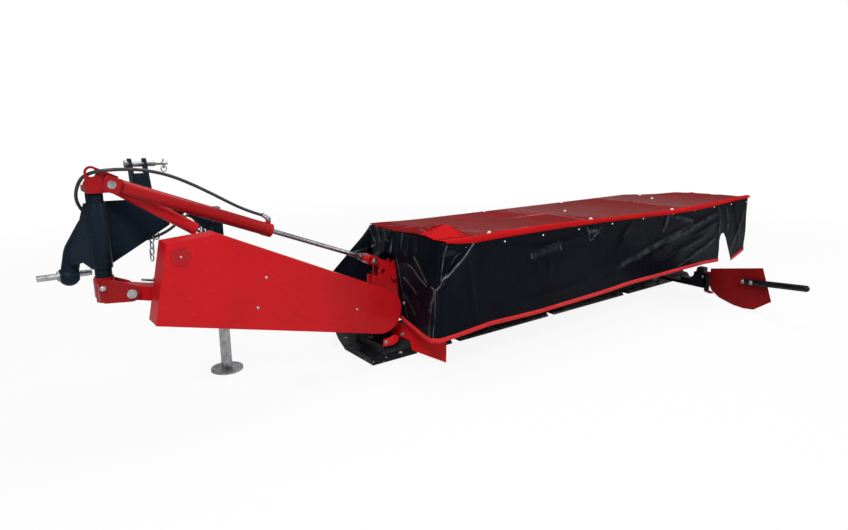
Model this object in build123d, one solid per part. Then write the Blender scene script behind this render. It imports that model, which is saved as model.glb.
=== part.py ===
from build123d import *
import math
import os

# Rear-mounted disc mower, parked: cutter bar lowered on its skids, hitch on its stand leg.
# +X runs along the cutter bar to the outer end, +Y is the direction of travel, +Z is up.
# The model is drawn from the king pin's axis (X 0, Y 0) with the floor at Z 0, and moved
# once at the end so that the origin is the bottom centre of the whole machine.

os.makedirs("parts", exist_ok=True)

# ---- driving sizes, mm ----
RUN = 0.3            # clearance of a moving piece that seats on another
PLAY = 0.05          # radial clearance of a pin in its bore

# hitch
hitch_x, hitch_y = 262, 345       # middle of the hitch, plane of its arch
link_pin_z = 602                  # lower link pins above the floor
link_pin_r = 14
link_pin_reach = 90               # free length outside the leg boss
leg_half_span = 348               # arch leg ends from the hitch's middle
leg_tube_r = 37
leg_boss_r, leg_boss_half, leg_end_r = 30, 38, 44
arch_top_z, arch_half_top = 858, 232
arch_knee_z, arch_knee_half = 712, 322
arch_bend_r = 95
mast_top_z, mast_top_y = 1112, 402
mast_gap, mast_plate = 54, 12
top_pin_z, top_pin_r = mast_top_z - 28, 12.7
# king pin
king_r, sleeve_r = 22, 33
sleeve_low, sleeve_high = 655, 1003
gusset_t = 10
# pivots of the arm
pivot_x, pivot_z, pivot_r = 86, 577, 20
ear_r, ear_t, ear_gap = 36, 14, 92
fold_x, fold_z = 1261, 302                  # fold hinge between the arm and the cutter bar
arm_length = math.hypot(fold_x - pivot_x, fold_z - pivot_z)
arm_drop = math.degrees(math.atan2(pivot_z - fold_z, fold_x - pivot_x))
beam_half_w, beam_half_h, beam_end = 50, 45, 990
tongue_half_h = 31
cheek_in, cheek_t, cheek_r = 66, 14, 68
trunnion_r = 38
# lift cylinder and relief spring share the upper pin
upper_x, upper_z, upper_r = 60, 1036, 15
lift_y, lift_r, barrel_length = -6, 31, 736
rod_r, rod_eye_r, rod_eye_w, rod_inside = 12, 27, 38, 262
relief_y, relief_r, relief_wall, relief_length = 60, 28, 4, 420
spring_r, spring_turns, relief_eye_half = 20, 22, 7
# fold lever on the cutter bar
lever_x, lever_z = 32, 250                  # lever eye from the fold hinge
lever_t, lever_gap = 14, 44
lever_hole_x, lever_hole_z, lever_hole_r = 112, 173, 15
# belt guard, in the arm's frame
guard_front_y, guard_depth, guard_wall = -200, 112, 4
guard_end_r = 119
input_u, input_v, input_r = 245, 95, 17.4
input_tip_y = 205
# cutter bar
disc_count, disc_pitch, disc_y = 7, 400, -20
bar_low, bar_high = 35, 90
bar_back, bar_front = -150, 120
bar_inner_x = fold_x + 29
disc_first_x = bar_inner_x + 415
bar_outer_x = disc_first_x + (disc_count - 1) * disc_pitch + 195
skid_short, skid_first, skid_gap = (275, 480), 538, 57    # from the bar's inner end, and between long skids
skid_long = (bar_outer_x - bar_inner_x - skid_first - 2 * skid_gap + 6) / 3
skid_starts = [skid_first + k * (skid_long + skid_gap) for k in range(3)]
skid_spans = [skid_short] + [(x, x + skid_long) for x in skid_starts]
skid_spans[-1] = (skid_starts[-1], bar_outer_x - bar_inner_x - 30)
disc_r, disc_lug_r, disc_t, disc_z = 152, 192, 6, 113
knife_reach, knife_w, knife_t = 255, 42, 4
# cover
cover_in, cover_out = fold_x + 147, bar_outer_x + 300
cover_back, cover_mid, cover_far = -515, -71, 266
front_in, front_out = cover_in + 82, cover_out - 490      # straight part of the front flap
cover_top_z, cloth_t = 676, 4
hem_z = 214
notch_x0, notch_x1, notch_top = cover_out - 482, cover_out - 270, 442
# swath board at the outer end
board_x, board_y, board_turn, board_t = cover_out - 626, -535, 25, 5
# stand leg
stand_x, stand_y, stand_half, stand_wall, stand_foot = 572, 268, 27, 5, 82

pieces = {}


def keep(name, shape):
    pieces[name] = shape
    return shape


def block(x0, x1, y0, y1, z0, z1):
    return Pos((x0 + x1) / 2, (y0 + y1) / 2, (z0 + z1) / 2) * Box(x1 - x0, y1 - y0, z1 - z0)


def rod_between(start, end, radius):
    a, b = Vector(*start), Vector(*end)
    return extrude(Plane(a, z_dir=b - a) * Circle(radius), (b - a).length)


def along_y(x, z, radius, y0, y1):
    return rod_between((x, y0, z), (x, y1, z), radius)


def side_plane(x=0.0, z=0.0, turn=0.0, y=0.0):
    # local x along the given slope in the XZ plane, local y above it, normal towards -Y
    c, s = math.cos(math.radians(turn)), math.sin(math.radians(turn))
    return Plane(origin=(x, y, z), x_dir=(c, 0, s), z_dir=(0, -1, 0))


def side_slab(outline, y0, y1, plane=None, corner=0.0):
    face = make_face(Polyline(*outline, close=True))
    if corner:
        face = fillet(face.vertices(), corner)
    base = plane or side_plane()
    shifted = Plane(origin=base.origin + Vector(0, y1, 0), x_dir=base.x_dir, z_dir=base.z_dir)
    return extrude(shifted * face, y1 - y0)


def end_slab(outline, x0, x1, corner=0.0):
    # outline in (Y, Z), extruded along X
    face = make_face(Polyline(*outline, close=True))
    if corner:
        face = fillet(face.vertices(), corner)
    return extrude(Plane(origin=(x0, 0, 0), x_dir=(0, 1, 0), z_dir=(1, 0, 0)) * face, x1 - x0)


def hull_slab(circles, y0, y1, plane=None):
    # a plate whose outline is the hull of circles: (local x, local y, radius)
    face = make_hull([e for x, y, r in circles for e in (Pos(x, y) * Circle(r)).edges()])
    base = plane or side_plane()
    shifted = Plane(origin=base.origin + Vector(0, y1, 0), x_dir=base.x_dir, z_dir=base.z_dir)
    return extrude(shifted * face, y1 - y0)


def bent_tube(points, bend_r, radius, wall=0.0):
    path = FilletPolyline(*points, radius=bend_r)
    section = Circle(radius) if not wall else Circle(radius) - Circle(radius - wall)
    return sweep(Plane(path @ 0, z_dir=path % 0) * section, path)


# ================= hitch frame =================
left_x, right_x = hitch_x - leg_half_span, hitch_x + leg_half_span


def build_arch():
    half = leg_half_span
    knees = [
        (-half, link_pin_z), (-arch_knee_half, arch_knee_z), (-arch_half_top, arch_top_z),
        (arch_half_top, arch_top_z), (arch_knee_half, arch_knee_z), (half, link_pin_z),
    ]
    tube = bent_tube([(hitch_x + x, hitch_y, z) for x, z in knees], arch_bend_r, leg_tube_r)
    arch = tube
    for x in (left_x, right_x):
        boss = rod_between((x - leg_boss_half, hitch_y, link_pin_z),
                           (x + leg_boss_half, hitch_y, link_pin_z), leg_boss_r)
        ball = Pos(x, hitch_y, link_pin_z - 6) * Sphere(leg_end_r)
        flat = block(x - leg_boss_half, x + leg_boss_half, hitch_y - leg_end_r, hitch_y + leg_end_r,
                     link_pin_z - 2 * leg_end_r, link_pin_z + leg_end_r)
        arch = arch + boss + (ball & flat)
    for x in (left_x, right_x):
        bore = rod_between((x - 95, hitch_y, link_pin_z), (x + 95, hitch_y, link_pin_z), link_pin_r)
        arch = arch - bore
    return arch


def build_link_pins():
    pins = []
    for x, out in ((left_x, -1), (right_x, 1)):
        face = x + out * leg_boss_half
        pin = rod_between((x - out * 92, hitch_y, link_pin_z),
                          (face + out * link_pin_reach, hitch_y, link_pin_z), link_pin_r)
        pin = pin + rod_between((face, hitch_y, link_pin_z), (face + out * 10, hitch_y, link_pin_z), 23)
        tip = face + out * (link_pin_reach - 14)
        pin = pin - rod_between((tip, hitch_y, link_pin_z - 20), (tip, hitch_y, link_pin_z + 20), 5.5)
        pins.append(pin)
    return Compound(children=pins)


def build_mast():
    top = (mast_top_y, mast_top_z)
    outline = [
        (top[0] - 26, top[1]), (top[0] + 22, top[1]), (hitch_y + 48, arch_top_z),
        (hitch_y + 34, arch_top_z - 18), (hitch_y - 34, arch_top_z - 18), (hitch_y - 62, arch_top_z + 10),
    ]
    inner, outer = mast_gap / 2, mast_gap / 2 + mast_plate
    mast = end_slab(outline, hitch_x - outer, hitch_x - inner, corner=12)
    mast = mast + end_slab(outline, hitch_x + inner, hitch_x + outer, corner=12)
    slope = (mast_top_y - 26 - hitch_y + 62) / (mast_top_z - arch_top_z - 10)    # the ears' lower edge
    web_low, web_top = arch_top_z + 34, mast_top_z - 67
    web_y = hitch_y - 46
    web = end_slab([(web_y, web_low), (web_y + slope * (web_top - web_low), web_top),
                    (web_y + 10 + slope * (web_top - 4 - web_low), web_top - 4), (web_y + 10, web_low)],
                   hitch_x - inner, hitch_x + inner)
    mast = mast + web
    hole = rod_between((hitch_x - 60, mast_top_y, top_pin_z), (hitch_x + 60, mast_top_y, top_pin_z),
                       top_pin_r + PLAY)
    return mast - hole - arch


def build_top_pin():
    outer = mast_gap / 2 + mast_plate
    start, end = hitch_x - outer - 16, hitch_x + outer + 44
    pin = rod_between((start, mast_top_y, top_pin_z), (end, mast_top_y, top_pin_z), top_pin_r)
    head = rod_between((start, mast_top_y, top_pin_z), (hitch_x - outer, mast_top_y, top_pin_z), 19)
    return pin + head


def plan_wall(start, end, thickness, outline):
    # upright plate in the plan line from start to end; outline in (distance, Z)
    a, b = Vector(*start, 0), Vector(*end, 0)
    along = (b - a).normalized()
    across = Vector(along.Y, -along.X, 0)
    plane = Plane(origin=a - across * (thickness / 2), x_dir=along, z_dir=across)
    face = make_face(Polyline(*outline, close=True))
    return extrude(plane * face, thickness)


def build_gussets():
    right = plan_wall((0, 0), (330, 308), gusset_t, [
        (24, 965), (232, 946), (268, 930), (470, 838), (505, 790), (310, 748), (24, 690)])
    left = plan_wall((-sleeve_r - 3, -6), (left_x + 2, hitch_y - 11), gusset_t, [
        (0, 963), (10, 963), (64, 912), (182, 784), (250, 742), (330, 716), (334, 650), (300, 655),
        (112, 700), (0, 690)])
    ring = rod_between((0, 0, sleeve_low), (0, 0, sleeve_high), sleeve_r)
    plates = [p - ring - arch for p in (right, left)]
    return Compound(children=[s for p in plates for s in biggest(p)])


def biggest(shape):
    return [max(shape.solids(), key=lambda s: s.volume)]


def build_sleeve():
    tube = rod_between((0, 0, sleeve_low), (0, 0, sleeve_high), sleeve_r)
    return tube - rod_between((0, 0, sleeve_low - 5), (0, 0, sleeve_high + 5), king_r + PLAY)


def build_stand():
    s, w = stand_half, stand_wall
    top, low = arch_top_z - 60, 520
    sleeve = block(stand_x - s, stand_x + s, stand_y - s, stand_y + s, low, top)
    sleeve = sleeve - block(stand_x - s + w, stand_x + s - w, stand_y - s + w, stand_y + s - w, low - 5, top + 5)
    lug = block(stand_x - s, stand_x + s, stand_y + s, hitch_y, low + 110, top - 30) - arch
    sleeve = sleeve + biggest(lug)[0]
    inner = s - w - RUN
    leg = block(stand_x - inner, stand_x + inner, stand_y - inner, stand_y + inner, 10, top + 70)
    leg = leg - block(stand_x - inner + w, stand_x + inner - w, stand_y - inner + w,
                      stand_y + inner - w, 14, top + 75)
    foot = Pos(stand_x, stand_y, 5) * Cylinder(stand_foot, 10)
    return sleeve, leg + foot


arch = keep("hitch_arch", build_arch())
keep("lower_link_pins", build_link_pins())
keep("hitch_mast", build_mast())
keep("top_link_pin", build_top_pin())
keep("kingpin_sleeve", build_sleeve())
keep("gusset_plates", build_gussets())
stand_sleeve, stand_leg = build_stand()
keep("stand_sleeve", stand_sleeve)
keep("stand_leg", stand_leg)

# ================= swivel brackets on the king pin =================
ear_far = ear_gap / 2 + ear_t
top_gap = 1.5                                # thrust gap above and below the sleeve
near_ear = (-46, -34)
mid_ear = (21, 29)
far_ear = (91, 103)


def build_king_pin():
    return rod_between((0, 0, 560), (0, 0, 1062), king_r)


def build_upper_bracket():
    low = sleeve_high + top_gap
    cap = rod_between((0, 0, low), (0, 0, low + 50), king_r + 8)
    web = block(-30, 22, near_ear[0], far_ear[1], low, low + 24)
    ring_x, ring_z, ring_out, ring_in = -7, 1087, 26, 17
    near = hull_slab([(upper_x, upper_z, 32), (-8, low + 22, 22)], *near_ear)
    ring_t = (near_ear[0] + 2, near_ear[1] - 2)
    near = near + hull_slab([(ring_x, ring_z, ring_out), (-10, low + 26, 22)], *ring_t)
    near = near + hull_slab([(ring_x, ring_z, ring_out), (upper_x + 26, upper_z + 28, 4)], *ring_t)
    near = near - along_y(ring_x, ring_z, ring_in, -60, -20)
    bracket = cap + web + near
    for ear in (mid_ear, far_ear):
        bracket = bracket + hull_slab([(upper_x, upper_z, 30), (0, low + 22, 22)], *ear)
    bracket = bracket - along_y(upper_x, upper_z, upper_r, -80, 140)
    return bracket - rod_between((0, 0, low - 5), (0, 0, low + 57), king_r)


def build_lower_bracket():
    high = sleeve_low - top_gap
    hub = rod_between((0, 0, 548), (0, 0, high), sleeve_r + 5)
    bridge = block(-34, 34, -ear_far, ear_far, 556, 636)
    bracket = hub + bridge
    for side in (-1, 1):
        y0, y1 = sorted((side * ear_gap / 2, side * ear_far))
        bracket = bracket + hull_slab([(pivot_x, pivot_z, ear_r), (-10, 574, 24), (-2, 628, 24)], y0, y1)
    bracket = bracket - hull_slab([(pivot_x, pivot_z, tongue_half_h + 14), (pivot_x + 80, pivot_z - 60, 60)],
                                  -ear_gap / 2, ear_gap / 2)
    bracket = bracket - along_y(pivot_x, pivot_z, pivot_r, -90, 90)
    return bracket - rod_between((0, 0, 500), (0, 0, 700), king_r)


def build_hinge_pins():
    upper = along_y(upper_x, upper_z, upper_r, near_ear[0] - 12, far_ear[1] + 12)
    upper = upper + along_y(upper_x, upper_z, 17, near_ear[0] - 12, near_ear[0])
    main = along_y(pivot_x, pivot_z, pivot_r, -ear_far - 12, ear_far + 12)
    return Compound(children=[upper, main])


keep("king_pin", build_king_pin())
keep("upper_bracket", build_upper_bracket())
keep("lower_bracket", build_lower_bracket())
keep("hinge_pins", build_hinge_pins())

# ================= arm with belt guard =================
arm_plane = side_plane(pivot_x, pivot_z, -arm_drop)


def arm_point(u, v):
    p = arm_plane.from_local_coords(Vector(u, v, 0))
    return p.X, p.Z


input_x, input_z = arm_point(input_u, input_v)
relief_u, relief_v = 547, 183               # relief spring's eye in the arm's frame
relief_x, relief_z = arm_point(relief_u, relief_v)


def build_arm():
    half_tongue = ear_gap / 2 - 2
    tongue = hull_slab([(0, 0, tongue_half_h), (110, 0, tongue_half_h)], -half_tongue, half_tongue, arm_plane)
    beam = side_slab([(95, -tongue_half_h), (95, tongue_half_h), (190, beam_half_h), (beam_end, beam_half_h),
                      (beam_end, -beam_half_h), (190, -beam_half_h)], -beam_half_w, beam_half_w, arm_plane)
    arm = tongue + beam
    reach = cheek_in + cheek_t
    arm = arm + side_slab([(beam_end - 24, -beam_half_h), (beam_end - 24, beam_half_h),
                           (beam_end, beam_half_h), (beam_end, -beam_half_h)], -reach, reach, arm_plane)
    for side in (-1, 1):
        y0, y1 = sorted((side * cheek_in, side * reach))
        arm = arm + hull_slab([(arm_length, 0, cheek_r), (beam_end - 16, 0, beam_half_h)], y0, y1, arm_plane)
        rib = sorted((side * beam_half_w, side * cheek_in))
        arm = arm + side_slab([(beam_end - 150, -12), (beam_end - 150, 12), (beam_end - 20, 12),
                               (beam_end - 20, -12)], rib[0], rib[1], arm_plane)
    lug = hull_slab([(relief_u, relief_v, 22), (relief_u - 50, beam_half_h, 16), (relief_u + 50, beam_half_h, 16)],
                    34, 46, arm_plane)
    arm = arm + lug + along_y(relief_x, relief_z, 10, 46, 72)
    arm = arm + along_y(relief_x, relief_z, 20, 46, relief_y - relief_eye_half - RUN)
    arm = arm - along_y(pivot_x, pivot_z, pivot_r + PLAY, -90, 90)
    return arm - along_y(fold_x, fold_z, trunnion_r + PLAY, -120, 120)


def guard_outline(shrink=0.0):
    s = shrink
    left = [(80 + s, -101 + s), (72 + s, 240 - s * 0.7), (279, 305 - s)]
    dots = [(x, y, 3) for x, y in left]
    dots.append((arm_length, 0, guard_end_r - s))
    return dots


def build_guard():
    back = guard_front_y + guard_depth
    w = guard_wall
    shell = hull_slab(guard_outline(), guard_front_y, back, arm_plane)
    shell = shell - hull_slab(guard_outline(w), guard_front_y + w, back + 5, arm_plane)
    rear = hull_slab(guard_outline(w + 0.1), back - w, back, arm_plane)
    rear = rear - along_y(input_x, input_z, input_r + 12, back - 20, back + 20)
    rear = rear - along_y(fold_x, fold_z, trunnion_r + 4, back - 20, back + 20)
    return shell, rear


def build_input_housing():
    back = guard_front_y + guard_depth
    tube = along_y(input_x, input_z, 46, back, 118)
    foot = side_slab([(input_u - 70, beam_half_h), (input_u + 70, beam_half_h), (input_u + 40, input_v),
                      (input_u - 40, input_v)], -beam_half_w + 6, beam_half_w - 6, arm_plane)
    housing = tube + foot
    housing = housing + along_y(input_x, input_z, 60, 104, 118)
    spacer = along_y(*arm_point(760, 0), 20, back, -beam_half_w)
    return housing - along_y(input_x, input_z, input_r + PLAY, back - 10, 130), spacer


def build_input_shaft():
    back = guard_front_y + guard_depth
    shaft = along_y(input_x, input_z, input_r, back - 6, input_tip_y)
    for k in range(6):
        a = math.radians(60 * k)
        x, z = input_x + input_r * math.cos(a), input_z + input_r * math.sin(a)
        shaft = shaft - along_y(x, z, 3.2, 135, input_tip_y + 5)
    collar = along_y(input_x, input_z, 26, 119, 130)
    return shaft + collar


keep("arm_beam", build_arm())
guard_shell, guard_rear = build_guard()
keep("belt_guard", guard_shell)
keep("guard_backplate", guard_rear)
input_housing, guard_spacer = build_input_housing()
keep("input_housing", Compound(children=[input_housing, guard_spacer]))
keep("input_shaft", build_input_shaft())

# ================= lift cylinder and relief spring =================
eye_x, eye_z = fold_x + lever_x, fold_z + lever_z
lift_length = math.hypot(eye_x - upper_x, eye_z - upper_z)
lift_turn = math.degrees(math.atan2(eye_z - upper_z, eye_x - upper_x))
lift_plane = side_plane(upper_x, upper_z, lift_turn)
relief_span = math.hypot(relief_x - upper_x, relief_z - upper_z)
relief_turn = math.degrees(math.atan2(relief_z - upper_z, relief_x - upper_x))


def on_line(turn, distance, lift=0.0):
    c, s = math.cos(math.radians(turn)), math.sin(math.radians(turn))
    return upper_x + c * distance - s * lift, upper_z + s * distance + c * lift


def link_rod(turn, y, d0, d1, radius, lift=0.0):
    x0, z0 = on_line(turn, d0, lift)
    x1, z1 = on_line(turn, d1, lift)
    return rod_between((x0, y, z0), (x1, y, z1), radius)


def build_barrel():
    half = (mid_ear[0] - near_ear[1]) / 2 - 1
    base = side_slab([(-22, -24), (44, -24), (44, 24), (-22, 24)],
                     lift_y - half, lift_y + half, lift_plane, corner=4)
    barrel = base + link_rod(lift_turn, lift_y, 38, barrel_length, lift_r)
    barrel = barrel + link_rod(lift_turn, lift_y, barrel_length - 44, barrel_length, lift_r + 2)
    x, z = on_line(lift_turn, barrel_length - 22, lift_r - 4)
    barrel = barrel + rod_between((x, lift_y, z), (x, lift_y, z + 20), 12)
    barrel = barrel - along_y(upper_x, upper_z, upper_r + PLAY, -80, 80)
    return barrel - link_rod(lift_turn, lift_y, 90, barrel_length + 10, rod_r + PLAY)


def build_rod():
    rod = link_rod(lift_turn, lift_y, barrel_length - rod_inside, lift_length - 10, rod_r)
    eye = along_y(eye_x, eye_z, rod_eye_r, lift_y - rod_eye_w / 2, lift_y + rod_eye_w / 2)
    neck = link_rod(lift_turn, lift_y, lift_length - 58, lift_length - 10, rod_r + 7)
    return rod + eye + neck


def build_relief():
    tube = link_rod(relief_turn, relief_y, 18, relief_length, relief_r)
    tube = tube - link_rod(relief_turn, relief_y, 120, relief_length + 5, relief_r - relief_wall)
    eye = along_y(upper_x, upper_z, relief_r, relief_y - 28, relief_y + 28)
    tube = tube + eye
    return tube - along_y(upper_x, upper_z, upper_r + PLAY, -80, 140)


def build_relief_spring():
    # the coil's own turns are round rings in a row on a core rod, closed up as at rest
    start, end = relief_length - 30, relief_span - 70
    core = link_rod(relief_turn, relief_y, relief_length - 40, relief_span - 17, 6.5)
    c, s = math.cos(math.radians(relief_turn)), math.sin(math.radians(relief_turn))
    step = (end - start) / spring_turns
    for k in range(spring_turns + 1):
        x, z = on_line(relief_turn, start + k * step)
        disc = Plane(origin=(x - c * 3, relief_y, z - s * 3), z_dir=(c, 0, s)) * Circle(spring_r)
        core = core + extrude(disc, 6)
    eye = along_y(relief_x, relief_z, 24, relief_y - relief_eye_half, relief_y + relief_eye_half)
    return core + eye - along_y(relief_x, relief_z, 14, 30, 90)


keep("cylinder_barrel", build_barrel())
keep("cylinder_rod", build_rod())
keep("relief_tube", build_relief())
keep("relief_spring", build_relief_spring())

# ================= cutter bar =================
disc_xs = [disc_first_x + k * disc_pitch for k in range(disc_count)]
bar_plane = side_plane(fold_x, fold_z)


def build_gearbox():
    body = hull_slab([(0, 0, 66), (20, -60, 58)], -58, 58, bar_plane)
    leg = side_slab([(-38, -20), (70, 30), (150, -60), (150, bar_high - fold_z), (20, bar_high - fold_z)],
                    -50, 50, bar_plane)
    box = body + leg
    for side in (-1, 1):
        y0, y1 = sorted((side * 50, side * (cheek_in + cheek_t + 4)))
        box = box + along_y(fold_x, fold_z, trunnion_r, y0, y1)
    return box


def build_lever():
    half = lever_gap / 2
    plates = []
    body = hull_slab([(0, 0, 66), (20, -60, 58)], -58, 58, bar_plane)
    for y0, y1 in ((lift_y - half - lever_t, lift_y - half), (lift_y + half, lift_y + half + lever_t)):
        plate = hull_slab([(lever_x, lever_z, rod_eye_r), (lever_x + 118, lever_z - 52, 18)], y0, y1, bar_plane)
        plate = plate + side_slab([(48, 30), (48, 156), (85, 147), (85, lever_z - 50), (150, lever_z - 37),
                                   (172, lever_z - 37), (191, lever_z - 16), (199, lever_z - 44), (215, 137),
                                   (232, 64), (282, -38), (100, -60)], y0, y1, bar_plane, corner=6)
        plate = plate - along_y(fold_x + lever_hole_x, fold_z + lever_hole_z, lever_hole_r, y0 - 5, y1 + 5)
        plate = plate - body - gearbox
        plates.append(biggest(plate)[0])
    bolt_head = along_y(eye_x, eye_z, 16, lift_y - half - lever_t - 12, lift_y - half - lever_t)
    lug = block(fold_x + 150, fold_x + 209, cover_mid - 4, lift_y - half - lever_t, fold_z + 128, fold_z + 184)
    plates[0] = plates[0] + bolt_head + lug
    spacer_x, spacer_z = fold_x + 236, fold_z + 30
    tie = along_y(spacer_x, spacer_z, 14, lift_y - half, lift_y + half)
    return plates[0] + plates[1] + tie


def build_bar():
    section = [(bar_back, bar_low), (bar_back - 8, bar_low + 24), (bar_back + 6, bar_high - 6),
               (bar_back + 20, bar_high), (bar_front - 26, bar_high), (bar_front, bar_high - 20),
               (bar_front + 6, bar_low + 16), (bar_front - 8, bar_low)]
    bar = end_slab(section, bar_inner_x, bar_outer_x)
    for x in disc_xs:
        guard = Pos(x, disc_y + 28, bar_high - 15) * Cylinder(150, 26)
        seat = disc_z - RUN
        bar = bar + guard
        bar = bar + Pos(x, disc_y, (bar_high + seat) / 2) * Cylinder(58, seat - bar_high)
    return bar


def build_skids():
    plates = []
    for x0, x1 in skid_spans:
        profile = [(-168, 0), (-160, 12), (-140, bar_low), (112, bar_low), (150, bar_low + 18), (196, bar_low + 38),
                   (204, bar_low + 30), (160, 14), (112, 0)]
        plates.append(end_slab(profile, bar_inner_x + x0, bar_inner_x + x1))
    return Compound(children=plates)


def shoe(x0, x1):
    profile = [(-168, 0), (-160, 14), (-140, bar_low), (112, bar_low), (190, bar_low + 34), (262, 118),
               (272, 112), (210, 44), (130, 0)]
    return end_slab(profile, x0, x1)


def build_outer_shoe():
    body = shoe(bar_outer_x - 10, bar_outer_x + 90)
    post = block(bar_outer_x + 66, bar_outer_x + 78, -110, -50, bar_low, cover_top_z - cloth_t - 12.3 - 50)
    return body + post


def build_deflector():
    plate = plan_wall((cover_in + 22, -15), (cover_in + 112, -413), 4, [
        (0, bar_high), (150, bar_high), (168, 32), (408, 22), (408, 136), (60, 182), (0, 150)])
    tab = block(fold_x + 150, cover_in + 20.4, -60, -16, bar_high, bar_high + 4)
    return plate + tab


keep("hinge_gearbox", build_gearbox())
gearbox = pieces["hinge_gearbox"]
keep("fold_lever", build_lever())
keep("cutter_bar", build_bar())
keep("bar_skids", build_skids())
keep("inner_shoe", shoe(fold_x - 48, fold_x + 249))
keep("outer_shoe", build_outer_shoe())
keep("inner_deflector", build_deflector())


def build_disc(number, x):
    # neighbours run a quarter turn apart, so that their knives pass between each other
    plane = Plane(origin=(x, disc_y, disc_z))
    turn = 90 * (number % 2)
    plate = make_hull(Circle(disc_r * 0.86).edges()
                      + (Pos(disc_lug_r - 34, 0) * Circle(34)).edges()
                      + (Pos(34 - disc_lug_r, 0) * Circle(34)).edges())
    body = extrude(plate, disc_t)
    if number in (0, disc_count - 1):
        hat = Pos(0, 0, disc_t) * Cone(92, 66, 104, align=(Align.CENTER, Align.CENTER, Align.MIN))
    else:
        hat = Pos(0, 0, disc_t) * Cone(84, 52, 20, align=(Align.CENTER, Align.CENTER, Align.MIN))
    body = body + hat
    for side in (-1, 1):
        bolt_x = side * (disc_lug_r - 34)
        body = body + Pos(bolt_x, 0, -5) * Cylinder(13, 10 + 1)
        knife = Pos(side * (knife_reach + disc_lug_r - 60) / 2, 0, -8) * Box(
            knife_reach - disc_lug_r + 60, knife_w, knife_t)
        body = body + knife
        body = body + Pos(bolt_x, 0, disc_t) * Cylinder(11, 8)
    return plane * Rot(0, 0, turn) * body


for number, x in enumerate(disc_xs):
    keep(f"disc_{number + 1}", build_disc(number, x))

# ================= cover =================
slab_low = cover_top_z - cloth_t
bar_top = slab_low - RUN                     # upper side of the cover's hoops
hoop_t, hoop_w = 12, 40
rail = 50
hinge_z = bar_top - hoop_t / 2
hinge_rod_r, hinge_eye_r = 7, 13
first_hoop, last_hoop = cover_in + 92, cover_out - 370
hoop_pitch = (last_hoop - first_hoop + 90) / 3          # the outer bay is 90 shorter
stations = [first_hoop, first_hoop + hoop_pitch, first_hoop + 2 * hoop_pitch, last_hoop]


# the front curtain slopes out from the top's edge to its hem rail
front_top_y, front_low_y, front_low_z = cover_far + 2, 468, 330
front_run = math.hypot(front_low_y - front_top_y, slab_low - RUN - front_low_z)
front_dir = ((front_low_y - front_top_y) / front_run, (front_low_z - slab_low + RUN) / front_run)
skirt_rail_r = 13
skirt_rail_y = front_top_y + front_dir[0] * 350 + front_dir[1] * (skirt_rail_r + RUN)
skirt_rail_z = slab_low - RUN + front_dir[1] * 350 - front_dir[0] * (skirt_rail_r + RUN)


def plan_slab(outline, z0, z1):
    return Pos(0, 0, z0) * extrude(make_face(Polyline(*outline, close=True)), z1 - z0)


def build_cover_frame():
    z_low = bar_top - hoop_t - rail
    frame = block(cover_in + 32, bar_outer_x + 78, cover_mid - 66, cover_mid - 16, z_low, bar_top - hoop_t)
    frame = frame + block(cover_in + 5, cover_out - 72, cover_back + 12, cover_back + 42,
                          bar_top - hoop_t - 30, bar_top - hoop_t)
    for x in stations:
        frame = frame + block(x, x + hoop_w, cover_back + 6, cover_mid - 4, bar_top - hoop_t, bar_top)
        eye = rod_between((x, cover_mid, hinge_z), (x + hoop_w, cover_mid, hinge_z), hinge_eye_r)
        frame = frame + eye
        frame = frame + rod_between((x, cover_mid, hinge_z), (x + 2 * hoop_w + 16, cover_mid, hinge_z),
                                    hinge_rod_r)
    rail_front = cover_mid - 16
    frame = frame + block(cover_in + 32, cover_in + 130, rail_front, rail_front + 12,
                          fold_z + 130, z_low + rail - 6)
    return frame


def build_flap_frame():
    frame = block(front_in, front_out, cover_far - 34, cover_far - 4, bar_top - hoop_t - 30, bar_top - hoop_t)
    for x in stations:
        x0 = x + hoop_w + 5
        frame_x1 = x0 + hoop_w
        reach = 90 if x == last_hoop else cover_far - 4
        hoop = block(x0, frame_x1, cover_mid + 12, reach, bar_top - hoop_t, bar_top)
        eye = rod_between((x0, cover_mid, hinge_z), (frame_x1, cover_mid, hinge_z), hinge_eye_r)
        hoop = hoop + eye
        frame = frame + hoop
        frame = frame - rod_between((x0 - 1, cover_mid, hinge_z), (frame_x1 + 1, cover_mid, hinge_z),
                                    hinge_rod_r + PLAY)
        if x != last_hoop:
            arm_line = end_slab([(cover_far - 24, bar_top - hoop_t - 29), (cover_far - 6, bar_top - hoop_t - 29),
                                 (skirt_rail_y + 8, skirt_rail_z + 4), (skirt_rail_y - 8, skirt_rail_z - 4)],
                                x0, x0 + 12)
            frame = frame + arm_line
    frame = frame + rod_between((front_in + 10, skirt_rail_y, skirt_rail_z),
                                (front_out - 20, skirt_rail_y, skirt_rail_z), skirt_rail_r)
    frame = frame + block(front_out, front_out + 220, 60, 90, bar_top - hoop_t - 30, bar_top - hoop_t)
    frame = frame + plan_slab([(front_out - 30, cover_far - 34), (front_out, cover_far - 4),
                               (front_out + 230, 90), (front_out + 200, 62)],
                              bar_top - hoop_t - 30, bar_top - hoop_t)
    return frame


def build_tops():
    out = cover_out
    rear = plan_slab([(cover_in, cover_back), (out, cover_back), (out - 24, -216), (out - 88, cover_mid - 14),
                      (cover_in, cover_mid - 14)], slab_low, cover_top_z)
    front = plan_slab([(cover_in + 44, cover_mid + 24), (out - 132, cover_mid + 24), (out - 164, 52),
                       (out - 493, 175), (out - 610, 244), (front_in, cover_far)], slab_low, cover_top_z)
    return rear, front


def build_rear_curtain():
    skirt = block(cover_in, cover_out - 60, cover_back, cover_back + cloth_t, hem_z, slab_low - RUN)
    mid = (notch_x0 + notch_x1) / 2
    half = (notch_x1 - notch_x0) / 2
    notch = block(notch_x0, notch_x1, cover_back - 5, cover_back + 9, hem_z - 5, notch_top - half)
    arch_top = along_y(mid, notch_top - half, half, cover_back - 5, cover_back + 9)
    return skirt - notch - arch_top


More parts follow.
